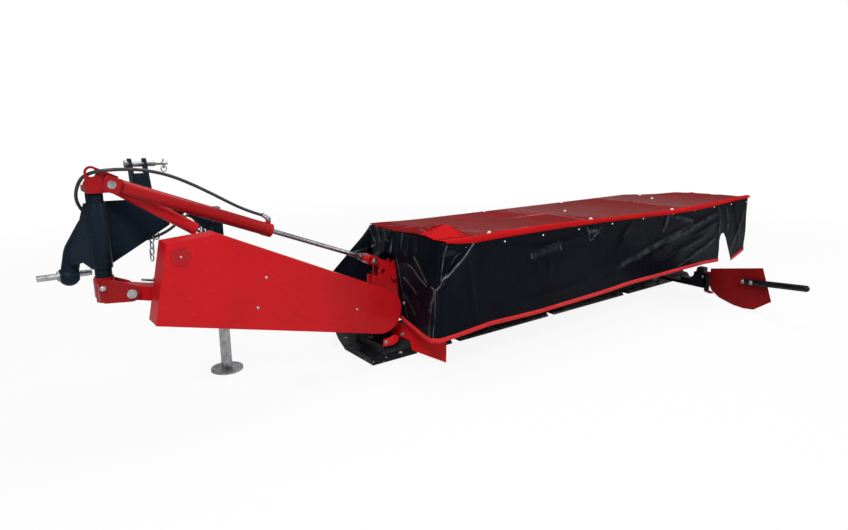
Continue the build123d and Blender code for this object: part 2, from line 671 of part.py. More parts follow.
def build_inner_curtain():
    y0 = cover_back + cloth_t + RUN
    return end_slab([(y0, hem_z - 8), (-136, hem_z + 4), (-185, 327), (-123, 561), (-90, slab_low - RUN),
                     (y0, slab_low - RUN)], cover_in, cover_in + cloth_t)


def build_outer_curtain():
    wall = plan_wall((cover_out - 56, cover_back + 2), (cover_out - 88, cover_mid - 40), cloth_t, [
        (0, hem_z + 40), (400, hem_z + 60), (400, slab_low - RUN), (0, slab_low - RUN)])
    return wall


def build_front_curtain():
    top_z = slab_low - RUN
    off_y, off_z = -front_dir[1] * cloth_t, front_dir[0] * cloth_t
    slope = end_slab([(front_top_y, top_z), (front_low_y, front_low_z), (front_low_y + off_y, front_low_z + off_z),
                      (front_top_y + off_y, top_z)], front_in, front_out - 10)
    flank = end_slab([(front_top_y, top_z), (front_low_y, front_low_z), (300, 322), (150, 392), (92, 520),
                      (110, top_z)], front_in - cloth_t, front_in)
    return slope + flank


keep("cover_frame", build_cover_frame())
keep("flap_frame", build_flap_frame())
cover_rear, cover_front = build_tops()
keep("cover_top_rear", cover_rear)
keep("cover_top_front", cover_front)
keep("rear_curtain", build_rear_curtain())
keep("inner_curtain", build_inner_curtain())
keep("outer_curtain", build_outer_curtain())
keep("front_curtain", build_front_curtain())

# ================= swath board =================
board_dir = (-math.sin(math.radians(board_turn)), -math.cos(math.radians(board_turn)))


def board_at(s, z):
    return board_x + board_dir[0] * s, board_y + board_dir[1] * s, z


def build_carrier():
    arm = block(board_x - 20, board_x + 20, board_y + 10, bar_back - 8, 50, 70)
    hinge = rod_between((board_x, board_y, 36), (board_x, board_y, 164), 18)
    web = block(board_x - 4, board_x + 4, board_y + 16, board_y + 110, 70, 160)
    beam = block(board_x - 32, board_x + 32, board_y + 60, bar_back - 190, 58, 106)
    head = plan_wall((board_x, board_y), (board_x, bar_back), 56, [
        (22, 56), (104, 60), (114, 118), (84, 158), (74, 204), (22, 204)])
    carrier = arm + hinge + web + beam + head
    return carrier - rod_between((board_x, board_y, 20), (board_x, board_y, 180), 9 + PLAY)


def build_board():
    end = board_at(650, 0)
    board = plan_wall((board_x, board_y), end[:2], board_t, [
        (26, 209), (26, 84), (62, 48), (148, 18), (297, 6), (400, 12), (490, 30), (634, 127), (527, 330)])
    for z0, z1 in ((24, 35), (165, 176)):
        tab = plan_wall((board_x, board_y), end[:2], 30, [(0, z0), (60, z0), (60, z1), (0, z1)])
        board = board + tab + rod_between((board_x, board_y, z0), (board_x, board_y, z1), 16)
    return board + rod_between((board_x, board_y, 24), (board_x, board_y, 176), 9)


def build_swath_rod():
    side = Vector(board_dir[1], -board_dir[0], 0) * (board_t / 2 + 20)
    a = Vector(*board_at(388, 205)) + side
    b = Vector(*board_at(912, 294)) + side
    rod = extrude(Plane(a, z_dir=b - a) * Circle(20), (b - a).length)
    return rod + Pos(*b) * Sphere(20)


keep("swath_carrier", build_carrier())
keep("swath_board", build_board())
keep("swath_rod", build_swath_rod())

# ================= hydraulic hose =================
hose_r = 7
port_x, port_z = on_line(lift_turn, barrel_length - 22, lift_r - 4)
hose_points = [
    (port_x - 22, lift_y, port_z + 44), (port_x - 80, -9, port_z + 66), (port_x - 158, -16, port_z + 104),
    (462, -28, 972), (368, -44, 1024), (276, -60, 1066), (186, -74, 1090), (110, -84, 1098),
    (40, -78, 1097), (-5, -45, 1088), (-38, 2, 1067), (-56, 62, 1008), (-50, 112, 952), (-16, 150, 896),
    (24, 196, 828), (84, 232, 768), (160, 256, 744), (240, 266, 740), (314, 268, 758), (376, 270, 792),
    (424, 272, 836),
]


def hose_radii(points):
    radii = []
    for a, b, c in zip(points, points[1:], points[2:]):
        u, v = Vector(*b) - Vector(*a), Vector(*c) - Vector(*b)
        half_turn = math.radians(u.get_angle(v)) / 2
        radii.append(0.45 * min(u.length, v.length) / math.tan(half_turn))
    return radii


def build_hose():
    radii = hose_radii(hose_points)
    print("hose radii", [round(r) for r in radii])
    path = FilletPolyline(*hose_points, radius=radii)
    tube = sweep(Plane(path @ 0, z_dir=path % 0) * Circle(hose_r), path)
    print("hose length", round(path.length), "volume ratio",
          round(tube.volume / (math.pi * hose_r ** 2 * path.length), 4))
    return tube


def build_elbow():
    x, z = port_x, port_z
    start, next_point = Vector(*hose_points[0]), Vector(*hose_points[1])
    out = (next_point - start).normalized()
    knee = Vector(x, lift_y, z + 34)
    nut = Pos(x, lift_y, z + 25) * Cylinder(13, 10)
    elbow = nut + rod_between((x, lift_y, z + 20), tuple(knee), 8) + Pos(*knee) * Sphere(8)
    elbow = elbow + rod_between(tuple(knee), tuple(start - out * 6), 8)
    return elbow + rod_between(tuple(start - out * 16), tuple(start), 10)


def build_coupling():
    a, b = Vector(*hose_points[-2]), Vector(*hose_points[-1])
    along = (b - a).normalized()
    tip = b + along * 70
    plug = extrude(Plane(b, z_dir=along) * Circle(13), 70)
    clip = block(tip.X - 34, tip.X + 6, tip.Y - 16, hitch_y, tip.Z - 14, tip.Z + 14)
    clip = clip - plug - arch
    return plug, biggest(clip)[0]


keep("hydraulic_hose", build_hose())
keep("hose_elbow", build_elbow())
hose_plug, hose_clip = build_coupling()
keep("hose_plug", hose_plug)
keep("hose_clip", hose_clip)

# ================= origin and files =================
low = Vector(1e9, 1e9, 1e9)
high = Vector(-1e9, -1e9, -1e9)
on_cord = ("hydraulic_hose", "hose_plug")
for name, shape in pieces.items():
    if name in on_cord:
        continue
    box = shape.bounding_box()
    low = Vector(min(low.X, box.min.X), min(low.Y, box.min.Y), min(low.Z, box.min.Z))
    high = Vector(max(high.X, box.max.X), max(high.Y, box.max.Y), max(high.Z, box.max.Z))
shift = Vector(-(low.X + high.X) / 2, -(low.Y + high.Y) / 2, -low.Z)
print("size", [round(v, 1) for v in (high - low)], "shift", [round(v, 2) for v in shift])

for name, shape in pieces.items():
    solids = [s for s in shape.solids() if s.volume > 1]
    whole = solids[0] if len(solids) == 1 else Compound(children=solids)
    export_step(Pos(*shift) * whole, f"parts/{name}.step")
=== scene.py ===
import bpy
import math
from mathutils import Matrix, Vector, noise


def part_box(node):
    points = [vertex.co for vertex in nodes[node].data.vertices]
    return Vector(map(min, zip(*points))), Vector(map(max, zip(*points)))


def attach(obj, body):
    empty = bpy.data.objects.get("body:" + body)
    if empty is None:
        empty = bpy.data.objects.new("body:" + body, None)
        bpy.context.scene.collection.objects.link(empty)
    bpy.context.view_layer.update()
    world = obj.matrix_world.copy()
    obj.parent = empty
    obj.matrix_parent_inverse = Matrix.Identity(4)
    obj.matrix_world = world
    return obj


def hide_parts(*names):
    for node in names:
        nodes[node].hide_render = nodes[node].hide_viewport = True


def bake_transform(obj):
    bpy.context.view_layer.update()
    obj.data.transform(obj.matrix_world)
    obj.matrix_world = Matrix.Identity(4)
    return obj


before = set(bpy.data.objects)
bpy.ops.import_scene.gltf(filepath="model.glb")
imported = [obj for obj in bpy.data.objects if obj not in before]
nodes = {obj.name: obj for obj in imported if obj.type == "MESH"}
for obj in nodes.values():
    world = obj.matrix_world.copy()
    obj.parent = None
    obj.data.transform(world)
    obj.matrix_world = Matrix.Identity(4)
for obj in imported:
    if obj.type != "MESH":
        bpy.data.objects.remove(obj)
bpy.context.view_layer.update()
bpy.ops.object.select_all(action="DESELECT")

# Sizes below are in mm from the king pin's axis, with the floor at zero.
pinLow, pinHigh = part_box("king_pin")
pinX, pinY = (pinLow.x + pinHigh.x) / 2, (pinLow.y + pinHigh.y) / 2


def at(x, y, z):
    return Vector((pinX + x / 1000, pinY + y / 1000, z / 1000))


def within(share):
    return max(0.0, min(1.0, share))


def newObject(name, data):
    piece = bpy.data.objects.new(name, data)
    bpy.context.scene.collection.objects.link(piece)
    return piece


# helpers for materials: an input takes a plain value or the output of another node
def setInputs(tree, step, inputs):
    for key, value in inputs.items():
        if isinstance(value, bpy.types.NodeSocket):
            tree.links.new(value, step.inputs[key])
        else:
            step.inputs[key].default_value = value


def addStep(tree, kind, inputs={}, **settings):
    step = tree.nodes.new("ShaderNode" + kind)
    for key, value in settings.items():
        setattr(step, key, value)
    setInputs(tree, step, inputs)
    return step.outputs


def sums(tree, operation, first, second=0.0):
    return addStep(tree, "Math", {0: first, 1: second}, operation=operation)[0]


def vectorSums(tree, operation, first, second, key=1):
    return addStep(tree, "VectorMath", {0: first, key: second}, operation=operation)


def objectPlace(tree):
    return addStep(tree, "TexCoord")["Object"]


def newFinish(name):
    finish = bpy.data.materials.new(name)
    finish.use_nodes = True
    return finish, finish.node_tree, finish.node_tree.nodes["Principled BSDF"]


def linear(r, g, b):
    parts = [c / 255 for c in (r, g, b)]
    return tuple(c / 12.92 if c <= 0.04 else ((c + 0.055) / 1.055) ** 2.4 for c in parts) + (1,)


def addNoise(tree, scale, detail=4.0, kind="FBM", stretch=(1, 1, 1)):
    place = addStep(tree, "Mapping", {"Vector": objectPlace(tree), "Scale": stretch})["Vector"]
    return addStep(tree, "TexNoise", {"Vector": place, "Scale": scale, "Detail": detail}, noise_type=kind)["Fac"]


def mapTo(tree, source, low, high, fromLow=0.35, fromHigh=0.65):
    limits = {"Value": source, "From Min": fromLow, "From Max": fromHigh, "To Min": low, "To Max": high}
    return addStep(tree, "MapRange", limits)["Result"]


def mixColours(tree, factor, first, second):
    return addStep(tree, "Mix", {"Factor": factor, "A": first, "B": second}, data_type="RGBA")["Result"]


def addBump(tree, heights, corner=0.0):
    # heights: (source, strength, distance in metres), laid over each other
    normal = addStep(tree, "Bevel", {"Radius": corner}, samples=4)["Normal"] if corner else None
    for source, strength, distance in heights:
        inputs = {"Height": source, "Strength": strength, "Distance": distance}
        if normal:
            inputs["Normal"] = normal
        normal = addStep(tree, "Bump", inputs)["Normal"]
    return normal


# camera, floor and light
view = {"place": (-437, -2780, 1290), "heading": 37.369, "down": 13.371, "lens": 25.9}


def addCamera():
    data = bpy.data.cameras.new("camera")
    data.lens = view["lens"]
    data.sensor_width = 36
    data.clip_end = 200
    camera = newObject("camera", data)
    camera.location = at(*view["place"])
    camera.rotation_euler = (math.radians(90 - view["down"]), 0, -math.radians(view["heading"]))
    bpy.context.scene.camera = camera


studio = {
    # strength of the light from all round, its tint, and how much of the white that the camera sees is mirrored
    "world": 0.27, "tint": (0.97, 0.985, 1, 1), "mirror": 0.16,
    # the floor turns fully white between these distances from the middle, in m
    "floorTone": 0.66, "floorGlow": 0.90, "fade": (3.0, 7.0), "floorSize": 90, "floorHeight": -0.002,
    "floorRough": 0.9, "floorShine": 0.1,
    # lamp: place, aim, size, watts
    "lamps": {
        "keyLamp": ((-4.2, -3.6, 4.6), (-0.6, 0.0, 0.4), 2.0, 330),
        "topLamp": ((0.4, 1.2, 5.2), (0.4, 0.2, 0.5), 3.2, 190),
        "farLamp": ((4.6, -3.8, 3.0), (1.2, 0.0, 0.4), 1.8, 165),
    },
}
white = (1, 1, 1, 1)


def addWorld():
    world = bpy.data.worlds.new("studio")
    bpy.context.scene.world = world
    world.use_nodes = True
    tree = world.node_tree
    tree.nodes.clear()
    rays = addStep(tree, "LightPath")
    # camera and transmission rays see white, glossy ones a share of it
    glossy = sums(tree, "MULTIPLY", rays["Is Glossy Ray"], studio["mirror"])
    seen = sums(tree, "MAXIMUM", sums(tree, "MAXIMUM", rays["Is Camera Ray"], glossy), rays["Is Transmission Ray"])
    light = addStep(tree, "Background", {"Color": studio["tint"], "Strength": studio["world"]})[0]
    paper = addStep(tree, "Background", {"Color": white})[0]
    addStep(tree, "OutputWorld", {"Surface": addStep(tree, "MixShader", {"Fac": seen, 1: light, 2: paper})[0]})


def addLamps():
    for name, (place, aim, size, watts) in studio["lamps"].items():
        data = bpy.data.lights.new(name, "AREA")
        data.shape, data.size, data.energy = "DISK", size, watts
        lamp = newObject(name, data)
        lamp.location = place
        lamp.rotation_euler = (Vector(aim) - Vector(place)).to_track_quat("-Z", "Y").to_euler()


def addFloor():
    bpy.ops.mesh.primitive_plane_add(size=studio["floorSize"], location=(0, 0, studio["floorHeight"]))
    floor = bpy.context.object
    floor.name = "studioFloor"
    paper, tree, shader = newFinish("studioPaper")
    tone = studio["floorTone"]
    setInputs(tree, shader, {"Base Color": (tone, tone, tone, 1), "Roughness": studio["floorRough"],
                             "Specular IOR Level": studio["floorShine"]})
    far = addStep(tree, "VectorMath", {0: objectPlace(tree)}, operation="LENGTH")["Value"]
    fade = mapTo(tree, far, studio["floorGlow"], 1.0, *studio["fade"])
    seen = sums(tree, "MULTIPLY", addStep(tree, "LightPath")["Is Camera Ray"], fade)
    glow = addStep(tree, "Emission", {"Color": white})[0]
    mix = addStep(tree, "MixShader", {"Fac": seen, 1: shader.outputs[0], 2: glow})[0]
    tree.links.new(mix, tree.nodes["Material Output"].inputs["Surface"])
    floor.data.materials.append(paper)
    floor.select_set(False)


bpy.context.scene.view_settings.view_transform = "Standard"
addCamera()
addWorld()
addLamps()
addFloor()
print("camera and studio ready")

# what most of the paints share: roughness low and high, metal, specular, the sizes of patches and grain, the depth of
# the grain, the softened corners in m, and dust; each finish then has its own colours and what differs
paintBase = {"rough": (0.30, 0.42), "metal": 0.0, "shine": 0.12, "patch": 3.0, "grain": 160.0, "bump": 0.05,
             "corner": 0.003, "dust": 0.03}
paintDepth = {"grain": 0.0006, "waves": 0.05, "patch": 0.004}
paints = {
    "guardPaint": {"light": (181, 20, 27), "dark": (169, 17, 23), "corner": 0.004},
    "darkPaint": {"light": (20, 31, 42), "dark": (14, 23, 32), "shine": 0.06, "patch": 5.0, "grain": 140.0,
                  "bump": 0.06, "corner": 0.004},
    "blackPaint": {"light": (11, 13, 17), "dark": (6, 7, 10), "rough": (0.36, 0.52), "shine": 0.16, "patch": 9.0,
                   "grain": 220.0, "bump": 0.08, "dust": 0.06},
    # the swath board's red darkened as painted shade for its inner face, which is turned away from the light
    "shadedBoardPaint": {"light": (126, 15, 18), "dark": (114, 11, 14), "rough": (0.5, 0.64), "shine": 0.08, "patch": 6.0,
                   "grain": 200.0, "corner": 0.002, "dust": 0.04},
    "deflectorPaint": {"light": (214, 24, 31), "dark": (200, 19, 25), "rough": (0.34, 0.46), "shine": 0.15,
                       "patch": 6.0, "grain": 200.0, "corner": 0.002, "dust": 0.06},
    "capPaint": {"light": (160, 22, 28), "dark": (148, 18, 24), "shine": 0.2, "patch": 8.0, "grain": 200.0,
                 "corner": 0.001, "dust": 0.0},
    "gussetPaint": {"light": (27, 38, 50), "dark": (21, 31, 42), "rough": (0.36, 0.48), "shine": 0.006, "dust": 0.02},
    "reliefPaint": {"light": (206, 34, 40), "dark": (192, 30, 36)},
    "barrelPaint": {"light": (150, 20, 25), "dark": (136, 16, 21)},
    "bracketPaint": {"light": (150, 16, 21), "dark": (134, 12, 17), "shine": 0.15, "patch": 6.0, "grain": 200.0,
                     "corner": 0.002, "dust": 0.04},
    "gearboxPaint": {"light": (190, 20, 27), "dark": (178, 17, 23), "corner": 0.004, "grime": (0.2, 0.25)},
    "shoePaint": {"light": (26, 28, 34), "dark": (14, 16, 20), "rough": (0.26, 0.5), "shine": 0.2, "patch": 12.0,
                  "grain": 260.0, "bump": 0.12, "corner": 0.004, "dust": 0.3, "grime": (0.09, 0.16)},
    "barPaint": {"light": (30, 33, 38), "dark": (14, 16, 20), "rough": (0.3, 0.6), "shine": 0.35, "patch": 12.0,
                 "grain": 260.0, "bump": 0.12, "corner": 0.004, "dust": 0.45},
    "brightZinc": {"light": (238, 239, 241), "dark": (216, 218, 221), "rough": (0.25, 0.4), "shine": 0.5,
                   "patch": 12.0, "grain": 200.0, "bump": 0.04, "corner": 0.0008, "dust": 0.0},
    "zincPlate": {"light": (186, 188, 190), "dark": (140, 142, 144), "rough": (0.28, 0.42), "metal": 1.0,
                  "shine": 0.5, "patch": 30.0, "grain": 500.0, "bump": 0.06, "corner": 0.001, "dust": 0.0},
    "rodChrome": {"light": (150, 152, 156), "dark": (124, 126, 130), "rough": (0.24, 0.32), "metal": 1.0,
                  "shine": 0.5, "patch": 12.0, "grain": 600.0, "bump": 0.02, "corner": 0.001, "dust": 0.0},
    "discSteel": {"light": (140, 138, 134), "dark": (98, 96, 93), "rough": (0.36, 0.55), "metal": 0.9, "shine": 0.5,
                  "patch": 14.0, "grain": 320.0, "bump": 0.1, "corner": 0.002, "dust": 0.2},
}
# dry dust in specks and wet dirt with pale splashes: colours, how fine the noise is, and where in it they start and are
# full
dirt = {"dust": (168, 164, 150), "dustSize": 55, "dustEdge": (0.60, 0.74), "wet": (24, 26, 31),
        "splash": (170, 172, 176), "splashSize": 48, "splashEdge": (0.62, 0.70), "splashes": 0.75}


def addGrime(tree, colour, full, clear):
    # wet dirt below one height, thinning out up to the other, with pale splashes in it
    height = addStep(tree, "SeparateXYZ", {0: objectPlace(tree)})["Z"]
    splash = mapTo(tree, addNoise(tree, dirt["splashSize"], 5), 0, dirt["splashes"], *dirt["splashEdge"])
    wet = mixColours(tree, splash, linear(*dirt["wet"]), linear(*dirt["splash"]))
    return mixColours(tree, mapTo(tree, height, 1, 0, full, clear), colour, wet)


def makePaint(name, facts):
    facts = {**paintBase, **facts}
    finish, tree, shader = newFinish(name)
    patches = addNoise(tree, facts["patch"], 6)
    grain = addNoise(tree, facts["grain"], 2)
    colour = mixColours(tree, mapTo(tree, patches, 0, 1), linear(*facts["dark"]), linear(*facts["light"]))
    if facts["dust"]:
        specks = mapTo(tree, addNoise(tree, dirt["dustSize"], 8), 0, facts["dust"], *dirt["dustEdge"])
        colour = mixColours(tree, specks, colour, linear(*dirt["dust"]))
    if "grime" in facts:
        colour = addGrime(tree, colour, *facts["grime"])
    heights = [(grain, facts["bump"], paintDepth["grain"]), (patches, paintDepth["waves"], paintDepth["patch"])]
    normal = addBump(tree, heights, facts["corner"])
    setInputs(tree, shader, {"Base Color": colour, "Roughness": mapTo(tree, patches, *facts["rough"]), "Normal": normal,
                             "Metallic": facts["metal"], "Specular IOR Level": facts["shine"]})
    return finish


# what the coated cloths share: sizes of patches, crinkle and threads, how creases are drawn out, and (strength, depth)
clothBase = {"patch": 2.4, "crinkle": 26, "threads": 900, "drawn": (1, 1.6, 0.7), "creaseHeight": 0.006,
             "crinkles": (0.18, 0.003), "weave": (0.10, 0.0004)}
# crease is the size of the sharp folds; the sheen amount sets a painted reflection, a pale bloom on the far side of
# each bay
cloths = {
    "topCloth": {"light": (114, 17, 21), "dark": (100, 14, 18), "rough": (0.46, 0.6), "crease": 5.0,
                 "creaseDepth": 0.3, "specular": 0.003, "paintedSheen": 0.95},
    # the hem's brighter red, also laid on the corner's lit slopes as a painted highlight
    "hemAndLitSlopeCloth": {"light": (172, 23, 26), "dark": (158, 20, 22), "rough": (0.42, 0.56), "crease": 12.0,
                 "creaseDepth": 0.12, "specular": 0.003},
    "curtainCloth": {"light": (11, 15, 22), "dark": (7, 10, 16), "rough": (0.2, 0.32), "crease": 4.0,
                     "creaseDepth": 0.34, "specular": 0.028},
    "tapeCloth": {"light": (205, 44, 46), "dark": (176, 28, 32), "rough": (0.42, 0.6), "crease": 30.0,
                  "creaseDepth": 0.1, "specular": 0.12},
}
# painted reflection on the top cloth, a grazing sheen laid into the colour: x of the first bay's edge and the width of
# a bay, in mm; how its edge leans with y and wanders; the share of a bay over which the bloom rises, and what is left
# of it at the end;
# how strong it is at the inner end, the run in m to its full strength, and where it starts round the first edge
paintedSheenBays = {"first": 1630, "pitch": 1000, "lean": 0.25, "wander": 0.5, "rise": 0.16, "left": 0.22, "inner": 0.45,
            "run": 1.9, "edge": (0.02, 0.2), "tone": (110, 68, 67)}


def addHaze(tree, colour, amount):
    # painted reflection: rises sharply at each bay's edge and fades away outward
    place = addStep(tree, "SeparateXYZ", {0: objectPlace(tree)})
    lean = sums(tree, "MULTIPLY", place["Y"], paintedSheenBays["lean"])
    drift = sums(tree, "MULTIPLY", addNoise(tree, 2.2, 3), paintedSheenBays["wander"])
    along = sums(tree, "ADD", sums(tree, "ADD", place["X"], lean), drift)
    start = pinX + paintedSheenBays["first"] / 1000 + paintedSheenBays["wander"] / 2
    bays = sums(tree, "DIVIDE", sums(tree, "SUBTRACT", along, start), paintedSheenBays["pitch"] / 1000)
    phase = sums(tree, "FRACT", bays)
    strength = mapTo(tree, phase, 0, 1, 0.0, paintedSheenBays["rise"])
    for share in (mapTo(tree, phase, 1, paintedSheenBays["left"], paintedSheenBays["rise"], 1.0),
                  mapTo(tree, along, 0, 1, start - paintedSheenBays["edge"][0], start + paintedSheenBays["edge"][1]),
                  mapTo(tree, addNoise(tree, 6, 5), 0.7, 1.0),
                  mapTo(tree, along, paintedSheenBays["inner"], 1.0, start, start + paintedSheenBays["run"])):
        strength = sums(tree, "MULTIPLY", strength, share)
    return mixColours(tree, sums(tree, "MULTIPLY", strength, amount), colour, linear(*paintedSheenBays["tone"]))


# painted highlights: pale lines along the crests of folded cloth: their plane, the axis across it, where on that axis,
# in m from the pin, they start to show and show in full, and the lines as (two ends in the plane, width, strength)
foldHighlights = {
    "curtainCloth": [
        ("XZ", "Y", (-0.47, -0.5), [
            (1606, 684, 1460, 560, 6, 0.95), (1460, 560, 1362, 478, 5, 0.95), (1358, 477, 1346, 215, 3, 0.5),
            (1440, 690, 1386, 482, 6, 0.45), (2860, 380, 3690, 560, 24, 0.14), (3030, 400, 4080, 625, 14, 0.16),
            (2519, 660, 2553, 584, 8, 0.5), (2553, 584, 2661, 654, 7, 0.45), (2535, 640, 2600, 640, 14, 0.25),
            (2033, 574, 2043, 544, 5, 0.5), (2274, 586, 2289, 561, 5, 0.55), (2060, 556, 2270, 590, 30, 0.09),
            (3560, 270, 4050, 420, 13, 0.22), (4060, 650, 4110, 440, 16, 0.14), (4180, 640, 4230, 470, 18, 0.16),
            (3380, 660, 3340, 560, 14, 0.22), (3420, 650, 3700, 590, 16, 0.14), (4470, 600, 4300, 300, 16, 0.12),
        ]),
        ("YZ", "X", (1.52, 1.48), [
            (258, 684, 110, 596, 7, 0.6), (110, 596, 330, 520, 7, 0.5), (150, 687, 60, 620, 7, 0.45),
            (55, 690, -40, 640, 6, 0.35), (-60, 660, -70, 570, 8, 0.6), (-300, 600, -440, 500, 8, 0.4),
            (-240, 560, -440, 480, 7, 0.3), (-130, 560, -240, 260, 7, 0.35), (-200, 470, -350, 420, 9, 0.3),
            (-220, 380, -330, 300, 9, 0.22), (-160, 700, -168, 620, 7, 0.3), (60, 560, 140, 520, 9, 0.3),
        ]),
    ],
    "topCloth": [
        ("XY", "Z", (0.6, 0.62), [
            (1604, -290, 1590, -400, 7, 0.7), (1590, -400, 1640, -470, 8, 0.7), (1640, -470, 1700, -505, 6, 0.5),
            (1470, -250, 1440, -370, 6, 0.6), (1470, -250, 1610, -250, 6, 0.55), (1440, -370, 1430, -420, 6, 0.4),
            (1500, 230, 1580, 120, 7, 0.5), (1450, 220, 1520, 60, 7, 0.45), (1560, 20, 2100, -60, 8, 0.4),
            (2100, -60, 2700, -90, 8, 0.35), (1640, -200, 2200, -330, 9, 0.3), (2650, -500, 2650, 250, 7, 0.3),
            (3630, -500, 3630, 240, 7, 0.3), (1640, -500, 4500, -500, 5, 0.12),
        ]),
    ],
}
# colours of the painted fold highlights, and how their edges wobble and break up
foldHighlightTones = {"curtainCloth": (122, 124, 130), "topCloth": (226, 158, 152)}
foldHighlightEdge = {"wobbleSize": 9, "wobble": 0.012, "breakSize": 14, "breaks": (0.15, 1.3)}


def planePoint(plane, mask, u, v):
    place = {"X": 0, "Y": 0, "Z": 0, plane[0]: u, plane[1]: v}
    return Vector([axis * shown for axis, shown in zip(at(place["X"], place["Y"], place["Z"]), mask)])


# paints the pale highlight lines along the fold crests into the colour
def addWorn(tree, colour, name):
    where = objectPlace(tree)
    place = addStep(tree, "SeparateXYZ", {0: where})
    broken = mapTo(tree, addNoise(tree, foldHighlightEdge["breakSize"], 4), *foldHighlightEdge["breaks"])
    cloud = addStep(tree, "TexNoise", {"Vector": objectPlace(tree), "Scale": foldHighlightEdge["wobbleSize"]})["Color"]
    wobble = vectorSums(tree, "SUBTRACT", cloud, (0.5, 0.5, 0.5))[0]
    wobble = vectorSums(tree, "SCALE", wobble, foldHighlightEdge["wobble"], "Scale")[0]
    total = None
    for plane, across, (none, full), lines in foldHighlights[name]:
        mask = [1.0 if axis in plane else 0.0 for axis in "XYZ"]
        flat = vectorSums(tree, "MULTIPLY", vectorSums(tree, "ADD", where, wobble)[0], mask)[0]
        offset = {"X": pinX, "Y": pinY, "Z": 0}[across]
        zone = mapTo(tree, place[across], 0, 1, offset + none, offset + full)
        for u, v, lastU, lastV, width, strength in lines:
            first, last = planePoint(plane, mask, u, v), planePoint(plane, mask, lastU, lastV)
            way = (last - first).normalized()
            gap = vectorSums(tree, "SUBTRACT", flat, first)[0]
            run = vectorSums(tree, "DOT_PRODUCT", gap, way)["Value"]
            run = sums(tree, "MINIMUM", sums(tree, "MAXIMUM", run, 0.0), (last - first).length)
            foot = vectorSums(tree, "SCALE", way, run, "Scale")[0]
            far = vectorSums(tree, "DISTANCE", gap, foot)["Value"]
            line = sums(tree, "MULTIPLY", mapTo(tree, far, strength, 0, 0.0, width / 1000), zone)
            total = sums(tree, "MAXIMUM", total, line) if total else line
    return mixColours(tree, sums(tree, "MULTIPLY", total, broken), colour, linear(*foldHighlightTones[name]))


def makeCloth(name, facts):
    facts = {**clothBase, **facts}
    finish, tree, shader = newFinish(name)
    patches = addNoise(tree, facts["patch"], 5)
    creases = addNoise(tree, facts["crease"], 3, "RIDGED_MULTIFRACTAL", facts["drawn"])
    crinkle = addNoise(tree, facts["crinkle"], 4)
    threads = addNoise(tree, facts["threads"], 1)
    colour = mixColours(tree, mapTo(tree, patches, 0, 1), linear(*facts["dark"]), linear(*facts["light"]))
    # painted reflection: the grazing sheen mixed into the colour
    if "paintedSheen" in facts:
        colour = addHaze(tree, colour, facts["paintedSheen"])
    # painted highlights along the fold crests
    if name in foldHighlights:
        colour = addWorn(tree, colour, name)
    normal = addBump(tree, [(creases, facts["creaseDepth"], facts["creaseHeight"]), (crinkle, *facts["crinkles"]),
                            (threads, *facts["weave"])])
    setInputs(tree, shader, {"Base Color": colour, "Roughness": mapTo(tree, crinkle, *facts["rough"]), "Normal": normal,
                             "Specular IOR Level": facts["specular"]})
    return finish


rubber = {"light": (30, 31, 34), "dark": (16, 17, 19), "rough": (0.38, 0.55), "patch": 20, "ribs": 700}


def makeRubber():
    finish, tree, shader = newFinish("hoseRubber")
    patches = addNoise(tree, rubber["patch"], 4)
    colour = mixColours(tree, mapTo(tree, patches, 0, 1), linear(*rubber["dark"]), linear(*rubber["light"]))
    normal = addBump(tree, [(addNoise(tree, rubber["ribs"], 2), 0.2, 0.0005)])
    rough = mapTo(tree, patches, *rubber["rough"])
    setInputs(tree, shader, {"Base Color": colour, "Roughness": rough, "Normal": normal})
    return finish


finishes = {name: makePaint(name, facts) for name, facts in paints.items()}
finishes.update({name: makeCloth(name, facts) for name, facts in cloths.items()})
finishes["hoseRubber"] = makeRubber()

nodeFinishes = {
    "guardPaint": ["belt_guard", "arm_beam", "fold_lever"],
    "reliefPaint": ["relief_tube"],
    "gussetPaint": ["gusset_plates"],
    "barrelPaint": ["cylinder_barrel"],
    "gearboxPaint": ["hinge_gearbox"],
    "shoePaint": ["inner_shoe"],
    "bracketPaint": ["upper_bracket", "lower_bracket"],
    "darkPaint": ["hitch_arch", "hitch_mast", "kingpin_sleeve", "stand_sleeve", "guard_backplate",
                  "input_housing", "hose_clip"],
    "blackPaint": ["swath_rod", "swath_carrier", "cover_frame", "flap_frame", "outer_shoe"],
    "shadedBoardPaint": ["swath_board"],
    "deflectorPaint": ["inner_deflector"],
    "barPaint": ["cutter_bar", "bar_skids"],
    "zincPlate": ["lower_link_pins", "top_link_pin", "king_pin", "hinge_pins", "input_shaft", "relief_spring",
                  "hose_elbow", "stand_leg", "hose_plug"],
    "rodChrome": ["cylinder_rod"],
    "discSteel": ["disc_" + str(k) for k in range(1, 8)],
    "topCloth": ["cover_top_rear", "cover_top_front"],
    "curtainCloth": ["rear_curtain", "inner_curtain", "outer_curtain", "front_curtain"],
    "hoseRubber": ["hydraulic_hose"],
}
for finishName, members in nodeFinishes.items():
    for nodeName in members:
        piece = nodes[nodeName]
        piece.data.materials.clear()
        piece.data.materials.append(finishes[finishName])
print("finishes ready on", len(nodes), "nodes")


# helpers for new pieces
def clearSelection():
    for each in list(bpy.context.selected_objects):
        each.select_set(False)


def openEdit(piece):
    clearSelection()
    bpy.context.view_layer.objects.active = piece
    piece.select_set(True)
    bpy.ops.object.mode_set(mode="EDIT")
    bpy.ops.mesh.select_all(action="SELECT")


def closeEdit():
    bpy.ops.object.mode_set(mode="OBJECT")
    clearSelection()


